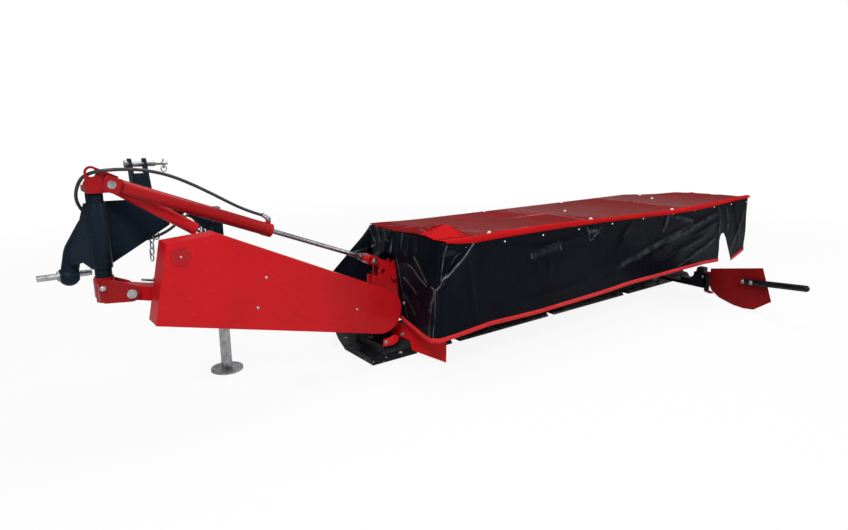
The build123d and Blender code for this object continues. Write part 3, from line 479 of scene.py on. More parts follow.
def pickParts(piece, kind, test):
    # leaves the faces or points that pass the test selected in edit mode
    bpy.context.view_layer.objects.active = piece
    bpy.ops.object.mode_set(mode="EDIT")
    bpy.ops.mesh.select_mode(type=kind)
    bpy.ops.mesh.select_all(action="DESELECT")
    bpy.ops.object.mode_set(mode="OBJECT")
    for part in piece.data.polygons if kind == "FACE" else piece.data.vertices:
        part.select = test(part)
    bpy.ops.object.mode_set(mode="EDIT")


def stepFace(piece, steps, side=(0, 0, 1)):
    # steps: how far each inset goes in from the edge of the face on that side, and how far the face then moves out
    pickParts(piece, "FACE", lambda face: face.normal.dot(Vector(side)) > 0.9)
    for inward, out in steps:
        bpy.ops.mesh.inset(thickness=inward)
        bpy.ops.transform.translate(value=[axis * out for axis in side])
    closeEdit()


def applyModifiers(piece):
    bpy.context.view_layer.objects.active = piece
    piece.select_set(True)
    for modifier in list(piece.modifiers):
        bpy.ops.object.modifier_apply(modifier=modifier.name)
    piece.select_set(False)


def softEdges(piece, width, segments=2, angle=40):
    bevel = piece.modifiers.new("softEdges", "BEVEL")
    bevel.width = width
    bevel.segments = segments
    bevel.limit_method = "ANGLE"
    bevel.angle_limit = math.radians(angle)
    applyModifiers(piece)


def addWall(piece, thickness, offset):
    wall = piece.modifiers.new("wall", "SOLIDIFY")
    wall.thickness = thickness
    wall.offset = offset
    applyModifiers(piece)


def setDown(piece, place, upward=(0, 0, 1), spin=0.0, sizes=(1, 1, 1)):
    # puts a piece drawn round the origin, its top towards +Z, at its place, with the place in its mesh
    piece.data.transform(piece.matrix_basis)
    piece.matrix_basis = Matrix()
    turn = Vector(upward).to_track_quat("Z", "Y").to_matrix().to_4x4()
    turn = Matrix.Translation(place) @ turn @ Matrix.Rotation(spin, 4, "Z")
    piece.data.transform(turn @ Matrix.Diagonal((*sizes, 1)))


def dress(piece, name, body, finish, smooth=35):
    piece.name = name
    piece.data.name = name
    piece.data.materials.clear()
    piece.data.materials.append(finishes[finish])
    clearSelection()
    bpy.context.view_layer.objects.active = piece
    piece.select_set(True)
    bpy.ops.object.transform_apply(location=True, rotation=True, scale=True)
    if smooth:
        bpy.ops.object.shade_smooth_by_angle(angle=math.radians(smooth))
    piece.select_set(False)
    if body:
        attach(piece, body)
    return piece


def joinAll(parts):
    clearSelection()
    for part in parts:
        part.select_set(True)
    bpy.context.view_layer.objects.active = parts[0]
    if len(parts) > 1:
        bpy.ops.object.join()
    whole = bpy.context.view_layer.objects.active
    whole.select_set(False)
    return whole


def copyOf(piece):
    twin = piece.copy()
    twin.data = piece.data.copy()
    bpy.context.scene.collection.objects.link(twin)
    return twin


# hydraulic hose: it leaves the elbow on the cylinder, rises over the barrel, passes the ring and drops behind the
# headstock
hose = {
    "diameter": 0.014, "length": 1.64, "ringPoint": 8,
    "route": [
        (712, -6, 844), (654, -9, 866), (576, -16, 904), (462, -28, 972), (368, -44, 1024), (276, -60, 1066),
        (186, -74, 1090), (110, -84, 1098), (40, -78, 1097), (-5, -45, 1088), (-38, 2, 1067), (-56, 62, 1008),
        (-50, 112, 952), (-16, 150, 896), (24, 196, 828), (84, 232, 768), (160, 256, 744), (240, 266, 740),
        (314, 268, 758), (376, 270, 792), (424, 272, 836),
    ],
}


def lineCurve(name, points, radius=0.0, order=3):
    data = bpy.data.curves.new(name, "CURVE")
    data.dimensions = "3D"
    spline = data.splines.new("NURBS")
    spline.points.add(len(points) - 1)
    for target, point in zip(spline.points, points):
        target.co = (*point, 1)
    spline.order_u = order
    spline.use_endpoint_u = True
    spline.resolution_u = 8
    data.bevel_depth = radius
    data.bevel_resolution = 4
    data.use_fill_caps = True
    return newObject(name, data)


def asMesh(curve):
    bpy.context.view_layer.update()
    ready = curve.evaluated_get(bpy.context.evaluated_depsgraph_get())
    piece = newObject(curve.name, bpy.data.meshes.new_from_object(ready))
    bpy.data.objects.remove(curve)
    return piece


def buildHose():
    route = [at(*p) for p in hose["route"]]
    centre = asMesh(lineCurve("hoseLine", route))
    path = [v.co.copy() for v in centre.data.vertices]
    bpy.data.objects.remove(centre)
    tube = asMesh(lineCurve("hydraulicHose", route, hose["diameter"] / 2))
    tube.data.materials.clear()
    tube.data.materials.append(finishes["hoseRubber"])
    for face in tube.data.polygons:
        face.use_smooth = True
    tube.name = "hydraulicHose"
    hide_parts("hydraulic_hose")
    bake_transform(tube)
    return path


hosePath = buildHose()
print("hose ready,", len(hosePath), "points")


# cloth
# size of a mesh cell in mm and thickness in m; a fold's crest: share of it that is sharp, how sharp, and its height at
# the fold's two ends
clothing = {"pitch": 11, "thickness": 0.0018, "sharpShare": 0.6, "sharpness": 1.3, "endHeight": 0.35}


def readTable(table, value):
    if value <= table[0][0]:
        return table[0][1]
    for (a, p), (b, q) in zip(table, table[1:]):
        if value <= b:
            return p + (q - p) * (value - a) / (b - a)
    return table[-1][1]


def stretchRows(stations, levels, pitch, gaps=()):
    # stations: rows of (x, y, z) with the same number of levels; levels: parts between one level and the next.
    # gaps: (station span, level span) pairs left open.
    rows, spans, levelMarks = [], [], []
    for j, parts in enumerate(levels):
        levelMarks += [j] * parts
    for k, station in enumerate(stations):
        fine = []
        for j, parts in enumerate(levels):
            a, b = Vector(station[j]), Vector(station[j + 1])
            fine += [a.lerp(b, m / parts) for m in range(parts)]
        fine.append(Vector(station[-1]))
        if k == 0:
            rows.append(fine)
            continue
        before = rows[-1]
        far = max((p - q).length for p, q in zip(before, fine))
        steps = max(1, round(far / pitch))
        for m in range(1, steps + 1):
            rows.append([p.lerp(q, m / steps) for p, q in zip(before, fine)])
            spans.append(k - 1)
    left = {(i, j) for i, span in enumerate(spans) for j, mark in enumerate(levelMarks) if (span, mark) in gaps}
    return rows, left


def relax(rows, left, passes, hold=()):
    # softens the bends between stations; the outline and the edges of gaps stay
    fixed = {(i + a, j + b) for i, j in left for a in (0, 1) for b in (0, 1)}
    for _ in range(passes):
        fresh = [[p.copy() for p in row] for row in rows]
        for i in range(1, len(rows) - 1):
            for j in range(len(rows[i])):
                if (i, j) in fixed or j in hold:
                    continue
                around = rows[i - 1][j] + rows[i + 1][j]
                count = 2
                if 0 < j < len(rows[i]) - 1:
                    around += rows[i][j - 1] + rows[i][j + 1]
                    count = 4
                fresh[i][j] = rows[i][j] * 0.5 + around * (0.5 / count)
        rows[:] = fresh


def normalsOf(rows):
    out = []
    for i, row in enumerate(rows):
        line = []
        for j in range(len(row)):
            along = rows[min(i + 1, len(rows) - 1)][j] - rows[max(i - 1, 0)][j]
            down = row[min(j + 1, len(row) - 1)] - row[max(j - 1, 0)]
            line.append(along.cross(down).normalized())
        out.append(line)
    return out


def foldSheet(rows, folds, ripple, sign=1.0):
    # folds: (two ends, width, height) in mm, raised along the sheet's own outward side, sharp at the crest
    outward = normalsOf(rows)
    sharp, low = clothing["sharpShare"], clothing["endHeight"]
    lines = [(Vector(fold[:3]), Vector(fold[3:6]), fold[6], fold[7]) for fold in folds]
    for i, row in enumerate(rows):
        for j, point in enumerate(row):
            rise = ripple(point)
            for a, b, width, height in lines:
                along = b - a
                t = within((point - a).dot(along) / along.length_squared)
                far = (point - a - along * t).length
                if far < width * 3:
                    crest = sharp * math.exp(-far / width * clothing["sharpness"])
                    crest += (1 - sharp) * math.exp(-(far / width) ** 2)
                    rise += height * crest * (low + (1 - low) * math.sin(math.pi * t))
            row[j] = point + outward[i][j] * rise * sign


def meshPiece(name, points, faces):
    mesh = bpy.data.meshes.new(name)
    mesh.from_pydata(points, [], faces)
    return newObject(name, mesh)


def sheetPiece(name, grids, second=None):
    # second: a test on a face's middle and normal that gives it the piece's second finish
    points, faces = [], []
    for rows, left in grids:
        index = {}
        for i, row in enumerate(rows):
            for j, point in enumerate(row):
                index[i, j] = len(points)
                points.append(at(*point))
        for i in range(len(rows) - 1):
            for j in range(len(rows[i]) - 1):
                if (i, j) not in left:
                    faces.append((index[i, j], index[i + 1, j], index[i + 1, j + 1], index[i, j + 1]))
    piece = meshPiece(name, points, faces)
    mesh = piece.data
    mesh.validate()
    area = sum(face.area for face in mesh.polygons)
    openEdit(piece)
    bpy.ops.mesh.remove_doubles(threshold=0.0005)
    bpy.ops.mesh.delete_loose()
    bpy.ops.object.mode_set(mode="OBJECT")
    if second:
        mesh.materials.append(None)
        mesh.materials.append(None)
        for face in mesh.polygons:
            face.material_index = 1 if second(face.center, face.normal) else 0
    addWall(piece, clothing["thickness"], 0)
    piece.select_set(True)
    bpy.ops.object.shade_smooth()
    piece.select_set(False)
    return piece, area


def finishSheet(piece, names):
    slots = piece.data.materials
    for k, name in enumerate(names):
        if k < len(slots):
            slots[k] = finishes[name]
        else:
            slots.append(finishes[name])


tape = {"high": 23, "proud": 3.6, "swell": 0.8, "below": 3}


def hemTape(name, line, outward, body):
    # a folded tape along an edge: line is the edge from end to end, outward its side directions
    high, proud, swell = tape["high"], tape["proud"], tape["swell"]
    ring = [(proud, high), (proud + swell, high * 0.5), (proud, 0), (0, -tape["below"]), (-proud, 0),
            (-proud - swell, high * 0.5), (-proud, high)]
    points, faces = [], []
    for point, side in zip(line, outward):
        points += [at(*(point + side * across + Vector((0, 0, up)))) for across, up in ring]
    count = len(ring)
    for i in range(len(line) - 1):
        for j in range(count):
            k = (j + 1) % count
            faces.append((i * count + j, (i + 1) * count + j, (i + 1) * count + k, i * count + k))
    faces.append(tuple(range(count)))
    faces.append(tuple(reversed(range(len(points) - count, len(points)))))
    piece = meshPiece(name, points, faces)
    openEdit(piece)
    bpy.ops.mesh.normals_make_consistent(inside=False)
    bpy.ops.object.mode_set(mode="OBJECT")
    bpy.ops.object.shade_smooth()
    piece.select_set(False)
    piece.data.materials.append(finishes["tapeCloth"])
    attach(piece, body)
    return piece


def stationsOf(table):
    return [[row[k:k + 3] for k in range(0, len(row), 3)] for row in table]


# red top: a rolled rear edge, a raised corner at the inner end, a ridge over the hinge, slack bays
top = {
    # its edges, and the y behind which its lines keep their place as the front edge draws in
    "rearY": -521, "frontY": 262, "rolledY": -460, "straightFrom": 2300,
    # height on the frame, the first two hoops, how far it sags between hoops and stands over them
    "seat": 680, "hoops": (1700, 2650), "slack": 12, "crown": 6,
    # ridge over the hinge: height, y, width; rise of the outer end: height, start, run; how the inner corner fades out
    "ridge": (7, -71, 18), "outerRise": (12, 4250, 250), "cornerFade": (250, 460),
    "frontLift": 4, "outerDrop": 7,
    # faces with the hem's brighter finish: the band behind this y; and, as a painted highlight, the corner's slopes
    # that lean towards the lit side by more than the given amount, up to this x and y
    "brightBand": -484, "litCorner": (1700, -150), "litSide": (0.62, 0.78), "litSlope": 0.07,
    "rim": [(-521, 1426), (-512, 1416), (-480, 1403), (-425, 1400), (-360, 1402), (-260, 1410), (-130, 1425),
            (30, 1445), (150, 1465), (262, 1484)],
    # rows of the corner: from the rim outward; columns: y from the front to the rear
    "cornerY": [-516, -500, -470, -430, -380, -330, -260, -200, -130, -60, 30, 150, 262],
    "corner": [
        (0, [700, 705, 711, 718, 723, 722, 717, 711, 706, 700, 695, 690, 690]),
        (90, [692, 698, 710, 722, 734, 737, 732, 722, 712, 698, 692, 688, 688]),
        (180, [685, 690, 704, 724, 746, 754, 748, 734, 714, 698, 690, 686, 684]),
        (250, [681, 684, 688, 698, 714, 724, 724, 714, 702, 693, 688, 684, 682]),
        (330, [680, 682, 682, 684, 686, 692, 696, 696, 692, 688, 686, 683, 681]),
        (460, [679, 680, 681, 681, 682, 683, 684, 685, 686, 687, 684, 682, 680]),
    ],
    # y of the lines along it
    "lines": [-521, -520.7, -519.6, -517, -512, -506, -498, -486, -474, -462, -450, *range(-438, -100, 13),
              -96, -88, -80, -74, -70, -64, -56, *range(-46, 256, 13), 260, 262],
    # the rolled band along the rear: its lower edge and its crest along x, and its shape across
    "bandLow": [(1424, 702), (1440, 701), (1480, 694), (1540, 687), (1606, 682), (1790, 686), (2265, 688), (2650, 683),
                (3046, 673), (3434, 663), (3784, 664), (4138, 679), (4501, 696), (4600, 698)],
    "bandHigh": [(1424, 714), (1440, 716), (1606, 712), (1789, 719), (2263, 716), (2650, 706), (3046, 696), (3430, 688),
                 (3779, 691), (4138, 700), (4497, 712), (4600, 713)],
    "band": [(-521, 0), (-520.7, 0.35), (-519.6, 0.62), (-517, 0.82), (-512, 0.95), (-506, 1.0), (-498, 0.98)],
    "bandFade": [(-498, 1.0), (-486, 0.9), (-474, 0.7), (-450, 0.36), (-425, 0.1), (-412, 0.0)],
    # rear x, front x, front y
    "stations": [(1408, 1486, 262), (1640, 1660, 264), (2400, 2400, 258), (3400, 3400, 249), (3800, 3800, 246),
                 (4060, 3990, 244), (4230, 4107, 175), (4390, 4300, 103), (4480, 4420, 52), (4524, 4510, -216)],
    "folds": [
        (1420, -60, 698, 1610, -232, 740, 14, 6), (1560, -236, 742, 1604, -300, 748, 12, 6),
        (1604, -300, 748, 1590, -400, 735, 8, 6), (1590, -400, 735, 1640, -455, 690, 9, 6),
        (1540, -380, 745, 1600, -480, 690, 8, 5), (1560, -330, 745, 1500, -470, 710, 9, 4),
        (1500, -300, 735, 1440, -340, 722, 10, 3), (1450, 220, 690, 1530, 60, 688, 9, 6),
        (1500, 230, 688, 1580, 120, 686, 9, 5), (1440, 60, 695, 1560, 20, 690, 10, 5),
        (1600, 40, 686, 2500, -20, 684, 12, 3), (1560, 150, 684, 2500, 180, 684, 16, 3),
        (1700, -120, 686, 2600, -110, 684, 14, 3), (2640, -500, 690, 2650, 250, 690, 9, 3),
        (3620, -500, 690, 3630, 240, 690, 9, 3), (2700, -180, 684, 3500, -230, 684, 20, 3),
        (3680, 40, 684, 4250, 10, 684, 16, 3), (1800, -330, 684, 2550, -240, 684, 24, 3),
    ],
}


def topShare(y):
    return (y - top["rearY"]) / (top["frontY"] - top["rearY"])


def cornerHeight(off, y):
    lines = [(far, readTable(list(zip(top["cornerY"], heights)), y)) for far, heights in top["corner"]]
    return readTable(lines, off)


def topHeight(x, y, share):
    off = x - readTable(top["rim"], y)
    soft = 2.2 * noise.noise(Vector((x / 260, y / 130, 4))) + 1.6 * noise.noise(Vector((x / 380, y / 34, 9)))
    soft *= min(1.0, share * 12, (1 - share) * 14)
    high = top["seat"] + soft
    first, second = top["hoops"]
    if x > first:
        sag = math.sin(math.pi * ((x - first) / (second - first) % 1.0) ** 0.8) * top["slack"]
        high += (top["crown"] - sag) * min(1.0, (x - first) / 200) * math.sin(math.pi * within(share)) ** 0.7
    ridge, ridgeY, ridgeWidth = top["ridge"]
    high += ridge * math.exp(-abs(y - ridgeY) / ridgeWidth)
    cornerStart, cornerEnd = top["cornerFade"]
    if off < cornerEnd:
        blend = within((off - cornerStart) / (cornerEnd - cornerStart))
        high = cornerHeight(off, y) * (1 - blend) + high * blend + soft * 0.5
    rise, riseStart, riseRun = top["outerRise"]
    high += rise * within((x - riseStart) / riseRun)
    fade = top["bandFade"]
    if y > fade[-1][0]:
        return high
    low, crest = readTable(top["bandLow"], x), readTable(top["bandHigh"], x)
    if y < fade[0][0]:
        return low + (crest - low) * readTable(top["band"], y)
    share = readTable(fade, y)
    return high * (1 - share) + crest * share


# the rear band keeps the hem's finish; slopes of the inner corner turned to the light get it too, as a painted
# highlight
def isBright(middle, normal):
    x, y = (middle.x - pinX) * 1000, (middle.y - pinY) * 1000
    alongX, alongY = top["litSide"]
    slope = -(normal.x * alongX + normal.y * alongY) * (1 if normal.z > 0 else -1)
    lastX, lastY = top["litCorner"]
    return y < top["brightBand"] or (slope > top["litSlope"] and x < lastX and y < lastY)


def buildTop():
    rolled = top["rolledY"]
    innerRear, innerFront = top["stations"][0][:2]
    stations = []
    for rearX, frontX, frontY in top["stations"]:
        line = []
        for y in top["lines"]:
            share = topShare(y)
            real = y if y < rolled else rolled + (y - rolled) * (frontY - rolled) / (top["frontY"] - rolled)
            shift = rearX - innerRear + ((frontX - innerFront) - (rearX - innerRear)) * share
            curved = rearX < top["straightFrom"]
            x = readTable(top["rim"], y) + shift if curved else rearX + (frontX - rearX) * share
            line.append((x, real, y))  # z holds the line's own y until the heights are set
        stations.append(line)
    rows, left = stretchRows(stations, [1] * (len(top["lines"]) - 1), clothing["pitch"])
    for i, row in enumerate(rows):
        for j, point in enumerate(row):
            height = topHeight(point.x, point.z if point.z < rolled else point.y, topShare(point.z))
            if j == len(row) - 1:
                height += top["frontLift"]
            if i == len(rows) - 1:
                height -= top["outerDrop"]
            point.z = height
    foldSheet(rows, top["folds"], lambda p: 0.0, -1.0)
    piece, area = sheetPiece("coverTop", [(rows, left)], isBright)
    finishSheet(piece, ["topCloth", "hemAndLitSlopeCloth"])
    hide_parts("cover_top_rear", "cover_top_front")
    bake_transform(piece)


buildTop()
print("cover top ready")


# a station of the curtain's straight rear side: y of its lower three levels, then the hem's height
def straightStation(x, *sides, hem, fold=470):
    points = zip((-516, -516, -516, *sides), (680, 632, 560, fold, 345, hem))
    return [number for y, z in points for number in (x, y, z)]


# black curtain: inner end, folded rear corner, long rear side with its notch, outer end
curtain = {
    # x, y and z of each station's points, from the top edge down to the hem
    "stations": [
        (1436, -66, 701, 1416, -82, 628, 1403, -104, 566, 1401, -128, 472, 1400, -150, 345, 1397, -158, 232),
        (1420, -200, 709, 1403, -205, 628, 1397, -215, 556, 1394, -235, 471, 1390, -255, 345, 1384, -275, 213),
        (1409, -330, 719, 1392, -340, 632, 1384, -350, 556, 1376, -365, 471, 1372, -375, 345, 1366, -385, 204),
        (1406, -425, 714, 1390, -440, 640, 1377, -450, 560, 1362, -470, 474, 1356, -470, 345, 1352, -462, 200),
        (1409, -480, 703, 1398, -496, 640, 1382, -510, 560, 1356, -524, 477, 1350, -522, 345, 1342, -512, 206),
        (1432, -510, 706, 1426, -502, 636, 1408, -508, 560, 1382, -521, 478, 1376, -520, 345, 1372, -523, 201),
        (1480, -515, 699, 1456, -494, 634, 1424, -500, 560, 1388, -518, 477, 1382, -522, 345, 1380, -526, 200),
        (1540, -516, 691, 1500, -496, 632, 1444, -505, 560, 1394, -519, 476, 1388, -523, 345, 1386, -528, 200),
        (1606, -516, 686, 1545, -527, 632, 1460, -532, 560, 1404, -529, 474, 1400, -525, 345, 1400, -531, 201),
        (1700, -516, 682, 1660, -517, 632, 1590, -520, 560, 1520, -522, 470, 1500, -526, 345, 1490, -534, 207),
        (1800, -516, 680, 1790, -516, 632, 1760, -518, 560, 1730, -520, 470, 1720, -523, 345, 1715, -528, 222),
        straightStation(2100, -518, -520, -521, hem=211),
        straightStation(2700, -516, -518, -520, hem=224),
        straightStation(3000, -516, -518, -520, hem=238),
        straightStation(3500, -516, -518, -519, hem=241),
        straightStation(3950, -516, -517, -518, hem=241, fold=460),
        (4100, -516, 680, 4102, -516, 600, 4110, -516, 520, 4122, -516, 396, 4127, -517, 330, 4128, -518, 234),
        (4130, -516, 680, 4132, -516, 600, 4134, -516, 520, 4128, -516, 430, 4150, -517, 330, 4150, -518, 234),
        (4160, -516, 680, 4160, -516, 600, 4158, -516, 520, 4146, -516, 450, 4170, -517, 330, 4180, -518, 233),
        (4190, -516, 680, 4190, -516, 600, 4184, -516, 520, 4178, -516, 448, 4230, -517, 330, 4260, -518, 230),
        (4224, -516, 680, 4222, -516, 600, 4216, -516, 520, 4212, -516, 412, 4262, -517, 330, 4333, -518, 215),
        (4360, -516, 680, 4370, -516, 600, 4380, -516, 520, 4395, -516, 430, 4410, -517, 335, 4430, -518, 238),
        (4500, -516, 680, 4510, -516, 600, 4516, -516, 520, 4522, -516, 430, 4530, -516, 345, 4540, -515, 268),
        (4530, -498, 680, 4534, -498, 600, 4536, -498, 520, 4538, -498, 430, 4540, -498, 345, 4542, -498, 270),
        (4534, -400, 679, 4534, -400, 610, 4534, -400, 540, 4535, -400, 470, 4536, -400, 400, 4537, -400, 316),
        (4526, -325, 678, 4526, -325, 620, 4526, -325, 570, 4528, -325, 520, 4528, -325, 470, 4530, -325, 420),
        (4512, -120, 678, 4512, -120, 625, 4512, -120, 580, 4514, -120, 535, 4514, -120, 490, 4514, -120, 440),
    ],
    "levels": [5, 7, 8, 11, 11],
    # below the notch's top, between its sides
    "notch": {(k, j) for k in (16, 17, 18, 19) for j in (3, 4)},
    # the top edge from here on tucks under the red top's band, and reaches this far into it
    "tucked": (1606, -500), "tuck": 6,
    "folds": [
        (1606, -518, 682, 1460, -523, 560, 13, 12), (1460, -523, 560, 1358, -526, 476, 13, 12),
        (1440, -514, 690, 1384, -523, 480, 12, 10), (1356, -526, 477, 1340, -513, 215, 13, 8),
        (1500, -510, 650, 1420, -518, 520, 20, -8), (1530, -512, 680, 1470, -512, 600, 11, 7),
        (1406, -122, 696, 1400, -130, 600, 12, 15), (1412, -160, 700, 1398, -168, 620, 11, 9),
        (1400, -300, 690, 1370, -440, 500, 15, 13), (1380, -240, 560, 1366, -430, 480, 14, 12),
        (1394, -200, 640, 1376, -350, 420, 16, 11), (1372, -330, 420, 1350, -470, 300, 15, 10),
        (1390, -240, 330, 1360, -420, 230, 14, 8), (1395, -190, 420, 1380, -250, 340, 13, 9),
        (1384, -460, 690, 1360, -505, 500, 12, 8), (1410, -230, 705, 1396, -260, 560, 13, 9),
        (1560, -520, 600, 1620, -522, 330, 17, 8), (1460, -524, 430, 1650, -528, 260, 19, 8),
    ],
    # on the rear side, all at one y: (x, z of the two ends, width, height)
    "sideY": -518,
    "sideFolds": [
        (2860, 380, 3690, 560, 18, 10), (3030, 400, 4080, 625, 17, 12), (3300, 330, 4000, 500, 20, 9),
        (2540, 655, 2575, 580, 13, 15), (2560, 668, 2650, 600, 12, 12), (3560, 270, 4050, 420, 17, 9),
        (2180, 520, 2200, 440, 13, 7), (4180, 640, 4230, 470, 14, 9), (4060, 650, 4110, 440, 15, 9),
        (4300, 640, 4420, 380, 15, 9), (1800, 640, 2300, 560, 24, 6), (1900, 300, 2600, 330, 30, 6),
        (3380, 660, 3340, 560, 13, 10), (4470, 600, 4300, 300, 15, 7), (3420, 650, 3700, 590, 15, 9),
        (2600, 640, 2300, 600, 16, 8), (3700, 470, 4100, 560, 14, 9), (3500, 400, 3900, 450, 14, 8),
        (2330, 610, 2120, 570, 14, 7), (2960, 640, 2800, 520, 18, 7),
    ],
}


def curtainRipple(p):
    wide = noise.noise(Vector((p.x / 330, p.y / 330, p.z / 150 + 3)))
    slim = noise.noise(Vector((p.x / 90 + p.z / 120, p.y / 90, p.z / 200 + 8)))
    return (wide * 4.5 + slim * 2.0) * within((680 - p.z) / 90)


def sideWays(line, turn):
    out = []
    for i in range(len(line)):
        along = line[min(i + 1, len(line) - 1)] - line[max(i - 1, 0)]
        out.append(Vector((along.y * turn, -along.x * turn, 0)).normalized())
    return out


def buildCurtain():
    tuckedX, tuckedY = curtain["tucked"]
    stations = stationsOf(curtain["stations"])
    for station in stations:
        x, y, z = station[0]
        if x > tuckedX and y < tuckedY:
            station[0] = (x, y, readTable(top["bandLow"], x) + curtain["tuck"])
    rows, left = stretchRows(stations, curtain["levels"], clothing["pitch"], curtain["notch"])
    relax(rows, left, 2, hold=(0,))
    y = curtain["sideY"]
    folds = curtain["folds"] + [(a, y, b, c, y, d, *size) for a, b, c, d, *size in curtain["sideFolds"]]
    foldSheet(rows, folds, curtainRipple, -1.0)
    piece, area = sheetPiece("curtainCloth", [(rows, left)])
    finishSheet(piece, ["curtainCloth"])
    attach(piece, "mower_bar")
    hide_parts("rear_curtain", "inner_curtain", "outer_curtain")
    openRows = sorted({i for i, j in left})
    for name, first, last in (("hemTapeInner", 0, openRows[0]), ("hemTapeOuter", openRows[-1] + 1, len(rows) - 1)):
        line = [row[-1] for row in rows[first:last + 1]]
        hemTape(name, line, sideWays(line, 1), "mower_bar")
    return rows


curtainRows = buildCurtain()
print("curtain ready")


# front cloth on the flap: its slope, the inner end that flares under the hem, and the band above the gearbox
front = {
    # x of the stations along the slope, its y at one height and how fast it runs out below, and its top's y at the
    # outer end
    "stations": (1560, 1900, 2400, 2900, 3400, 3800, 3990, 4098), "slope": (268, 672, 200 / 342),
    "outerY": {3990: 264, 4098: 210},
    # height of each level and x of the flare there; the flare dies out over this run, the lower hem over the other
    "flare": [(682, 1486), (598, 1444), (515, 1402), (455, 1362), (402, 1312), (345, 1290)], "flareRun": (1490, 300),
    "flarePull": 0.8, "lowHem": (80, 2000, 400), "levels": [4, 4, 3, 3, 3], "bandLevels": [5, 5],
    # x, y and z of each station's points, from the top edge down
    "end": [
        (1486, 264, 682, 1444, 311, 598, 1402, 360, 515, 1362, 395, 455, 1308, 432, 385, 1282, 466, 300),
        (1483, 250, 684, 1440, 280, 600, 1418, 300, 520, 1408, 315, 460, 1404, 322, 390, 1400, 334, 310),
        (1478, 225, 685, 1460, 236, 602, 1455, 248, 522, 1462, 255, 460, 1470, 262, 390, 1474, 265, 310),
    ],
    "band": [
        (1478, 225, 685, 1469, 230, 644, 1460, 236, 602),
        (1464, 150, 687, 1440, 142, 600, 1412, 118, 496),
        (1451, 75, 691, 1426, 75, 612, 1404, 75, 528),
        (1443, 23, 693, 1418, 25, 626, 1400, 23, 554),
        (1437, -18, 696, 1415, -18, 642, 1400, -18, 584),
        (1432, -66, 699, 1415, -84, 638, 1402, -106, 574),
        (1440, -92, 700, 1423, -108, 640, 1410, -130, 580),
    ],
    "folds": [
        (1484, 258, 684, 1430, 110, 596, 12, 15), (1430, 110, 596, 1406, 330, 520, 12, 13),
        (1464, 150, 687, 1424, 60, 620, 11, 11), (1448, 55, 690, 1412, -40, 640, 11, 11),
        (1430, -30, 690, 1402, -10, 590, 11, 12), (1480, 235, 680, 1450, 270, 560, 12, 9),
        (1440, 330, 560, 1330, 410, 420, 15, 9), (1425, 290, 500, 1400, 330, 380, 15, 8),
        (1452, 190, 640, 1420, 130, 540, 12, 9), (1500, 300, 610, 2300, 330, 560, 26, 6),
        (2500, 420, 420, 3600, 300, 620, 28, 6), (3400, 440, 370, 4080, 300, 600, 26, 6),
        (1700, 440, 370, 2500, 400, 440, 24, 5), (2900, 290, 640, 3000, 450, 360, 20, 6),
    ],
}


def frontRipple(p):
    wide = noise.noise(Vector((p.x / 300, p.y / 200, p.z / 160 + 5)))
    slim = noise.noise(Vector((p.x / 80, p.y / 90 + 3, p.z / 160)))
    return (wide * 5 + slim * 2) * within((676 - p.z) / 90)


def slopeStation(x):
    slopeY, slopeZ, run = front["slope"]
    flareStart, flareRun = front["flareRun"]
    pull = max(0.0, 1 - (x - flareStart) / flareRun)
    depth, hemEnd, hemRun = front["lowHem"]
    drop = depth * within((hemEnd - x) / hemRun)
    edgeX = front["flare"][0][1]
    line = []
    for k, (z, flareX) in enumerate(front["flare"]):
        z -= drop * max(0, k - 2) / 3
        y = slopeY + (slopeZ - z) * run
        y = y if k else front["outerY"].get(x, y)
        line.append((x - (edgeX - flareX) * pull * front["flarePull"], y, z))
    return line


def buildFront():
    end, band = stationsOf(front["end"]), stationsOf(front["band"])
    slope = [end[0]] + [slopeStation(x) for x in front["stations"]]
    grids = []
    for stations, parts in ((slope, front["levels"]), (end, front["levels"]), (band, front["bandLevels"])):
        rows, left = stretchRows(stations, parts, clothing["pitch"])
        relax(rows, left, 1, hold=(0,))
        grids.append((rows, left))
    for (rows, left), sign in zip(grids, (1.0, -1.0, -1.0)):
        foldSheet(rows, front["folds"], frontRipple, sign)
    # the three parts meet at shared seams
    slopeRows, endRows, bandRows = (rows for rows, left in grids)
    slopeRows[0] = [p.copy() for p in endRows[0]]
    seam, bandSeam = endRows[-1], bandRows[0]
    for j in range(len(bandSeam)):
        spot = j * 4 / (len(bandSeam) - 1)
        low = int(min(3, spot))
        bandSeam[j] = seam[low].lerp(seam[low + 1], spot - low)
    piece, area = sheetPiece("frontCloth", grids)
    finishSheet(piece, ["curtainCloth"])
    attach(piece, "flap")
    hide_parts("front_curtain")
    line = [row[-1] for row in slopeRows]
    tape = hemTape("hemTapeFront", line, sideWays(line, -1), "flap")


buildFront()
print("front cloth ready")


# helpers for fittings
def newCylinder(sides, radius, depth, middle=(0, 0, 0), ends="NGON"):
    clearSelection()
    bpy.ops.mesh.primitive_cylinder_add(vertices=sides, radius=radius, depth=depth, end_fill_type=ends, location=middle)
    return bpy.context.object


def newRing(radius, wire, sides, wireSides):
    clearSelection()
    bpy.ops.mesh.primitive_torus_add(major_radius=radius, minor_radius=wire, major_segments=sides,
                                     minor_segments=wireSides)
    return bpy.context.object


def buildBolt():
    # a hexagon head on its washer, drawn one unit in radius and then sized
    head = newCylinder(6, 1, 0.8, (0, 0, 0.55))
    stepFace(head, [(0.16, 0.12), (0.18, -0.05)])
    washer = newCylinder(28, 1.5, 0.24, (0, 0, 0.07))
    pickParts(washer, "FACE", lambda face: abs(face.normal.z) > 0.9)
    bpy.ops.mesh.bevel(offset=0.06, segments=2)
    closeEdit()
    return joinAll([head, washer])


def buildRivet():
    # a domed head, for rivets and small screws
    head = newCylinder(20, 1, 0.3, (0, 0, 0.1))
    stepFace(head, [(0.14, 0.14), (0.24, 0.12), (0.3, 0.05)])
    return head


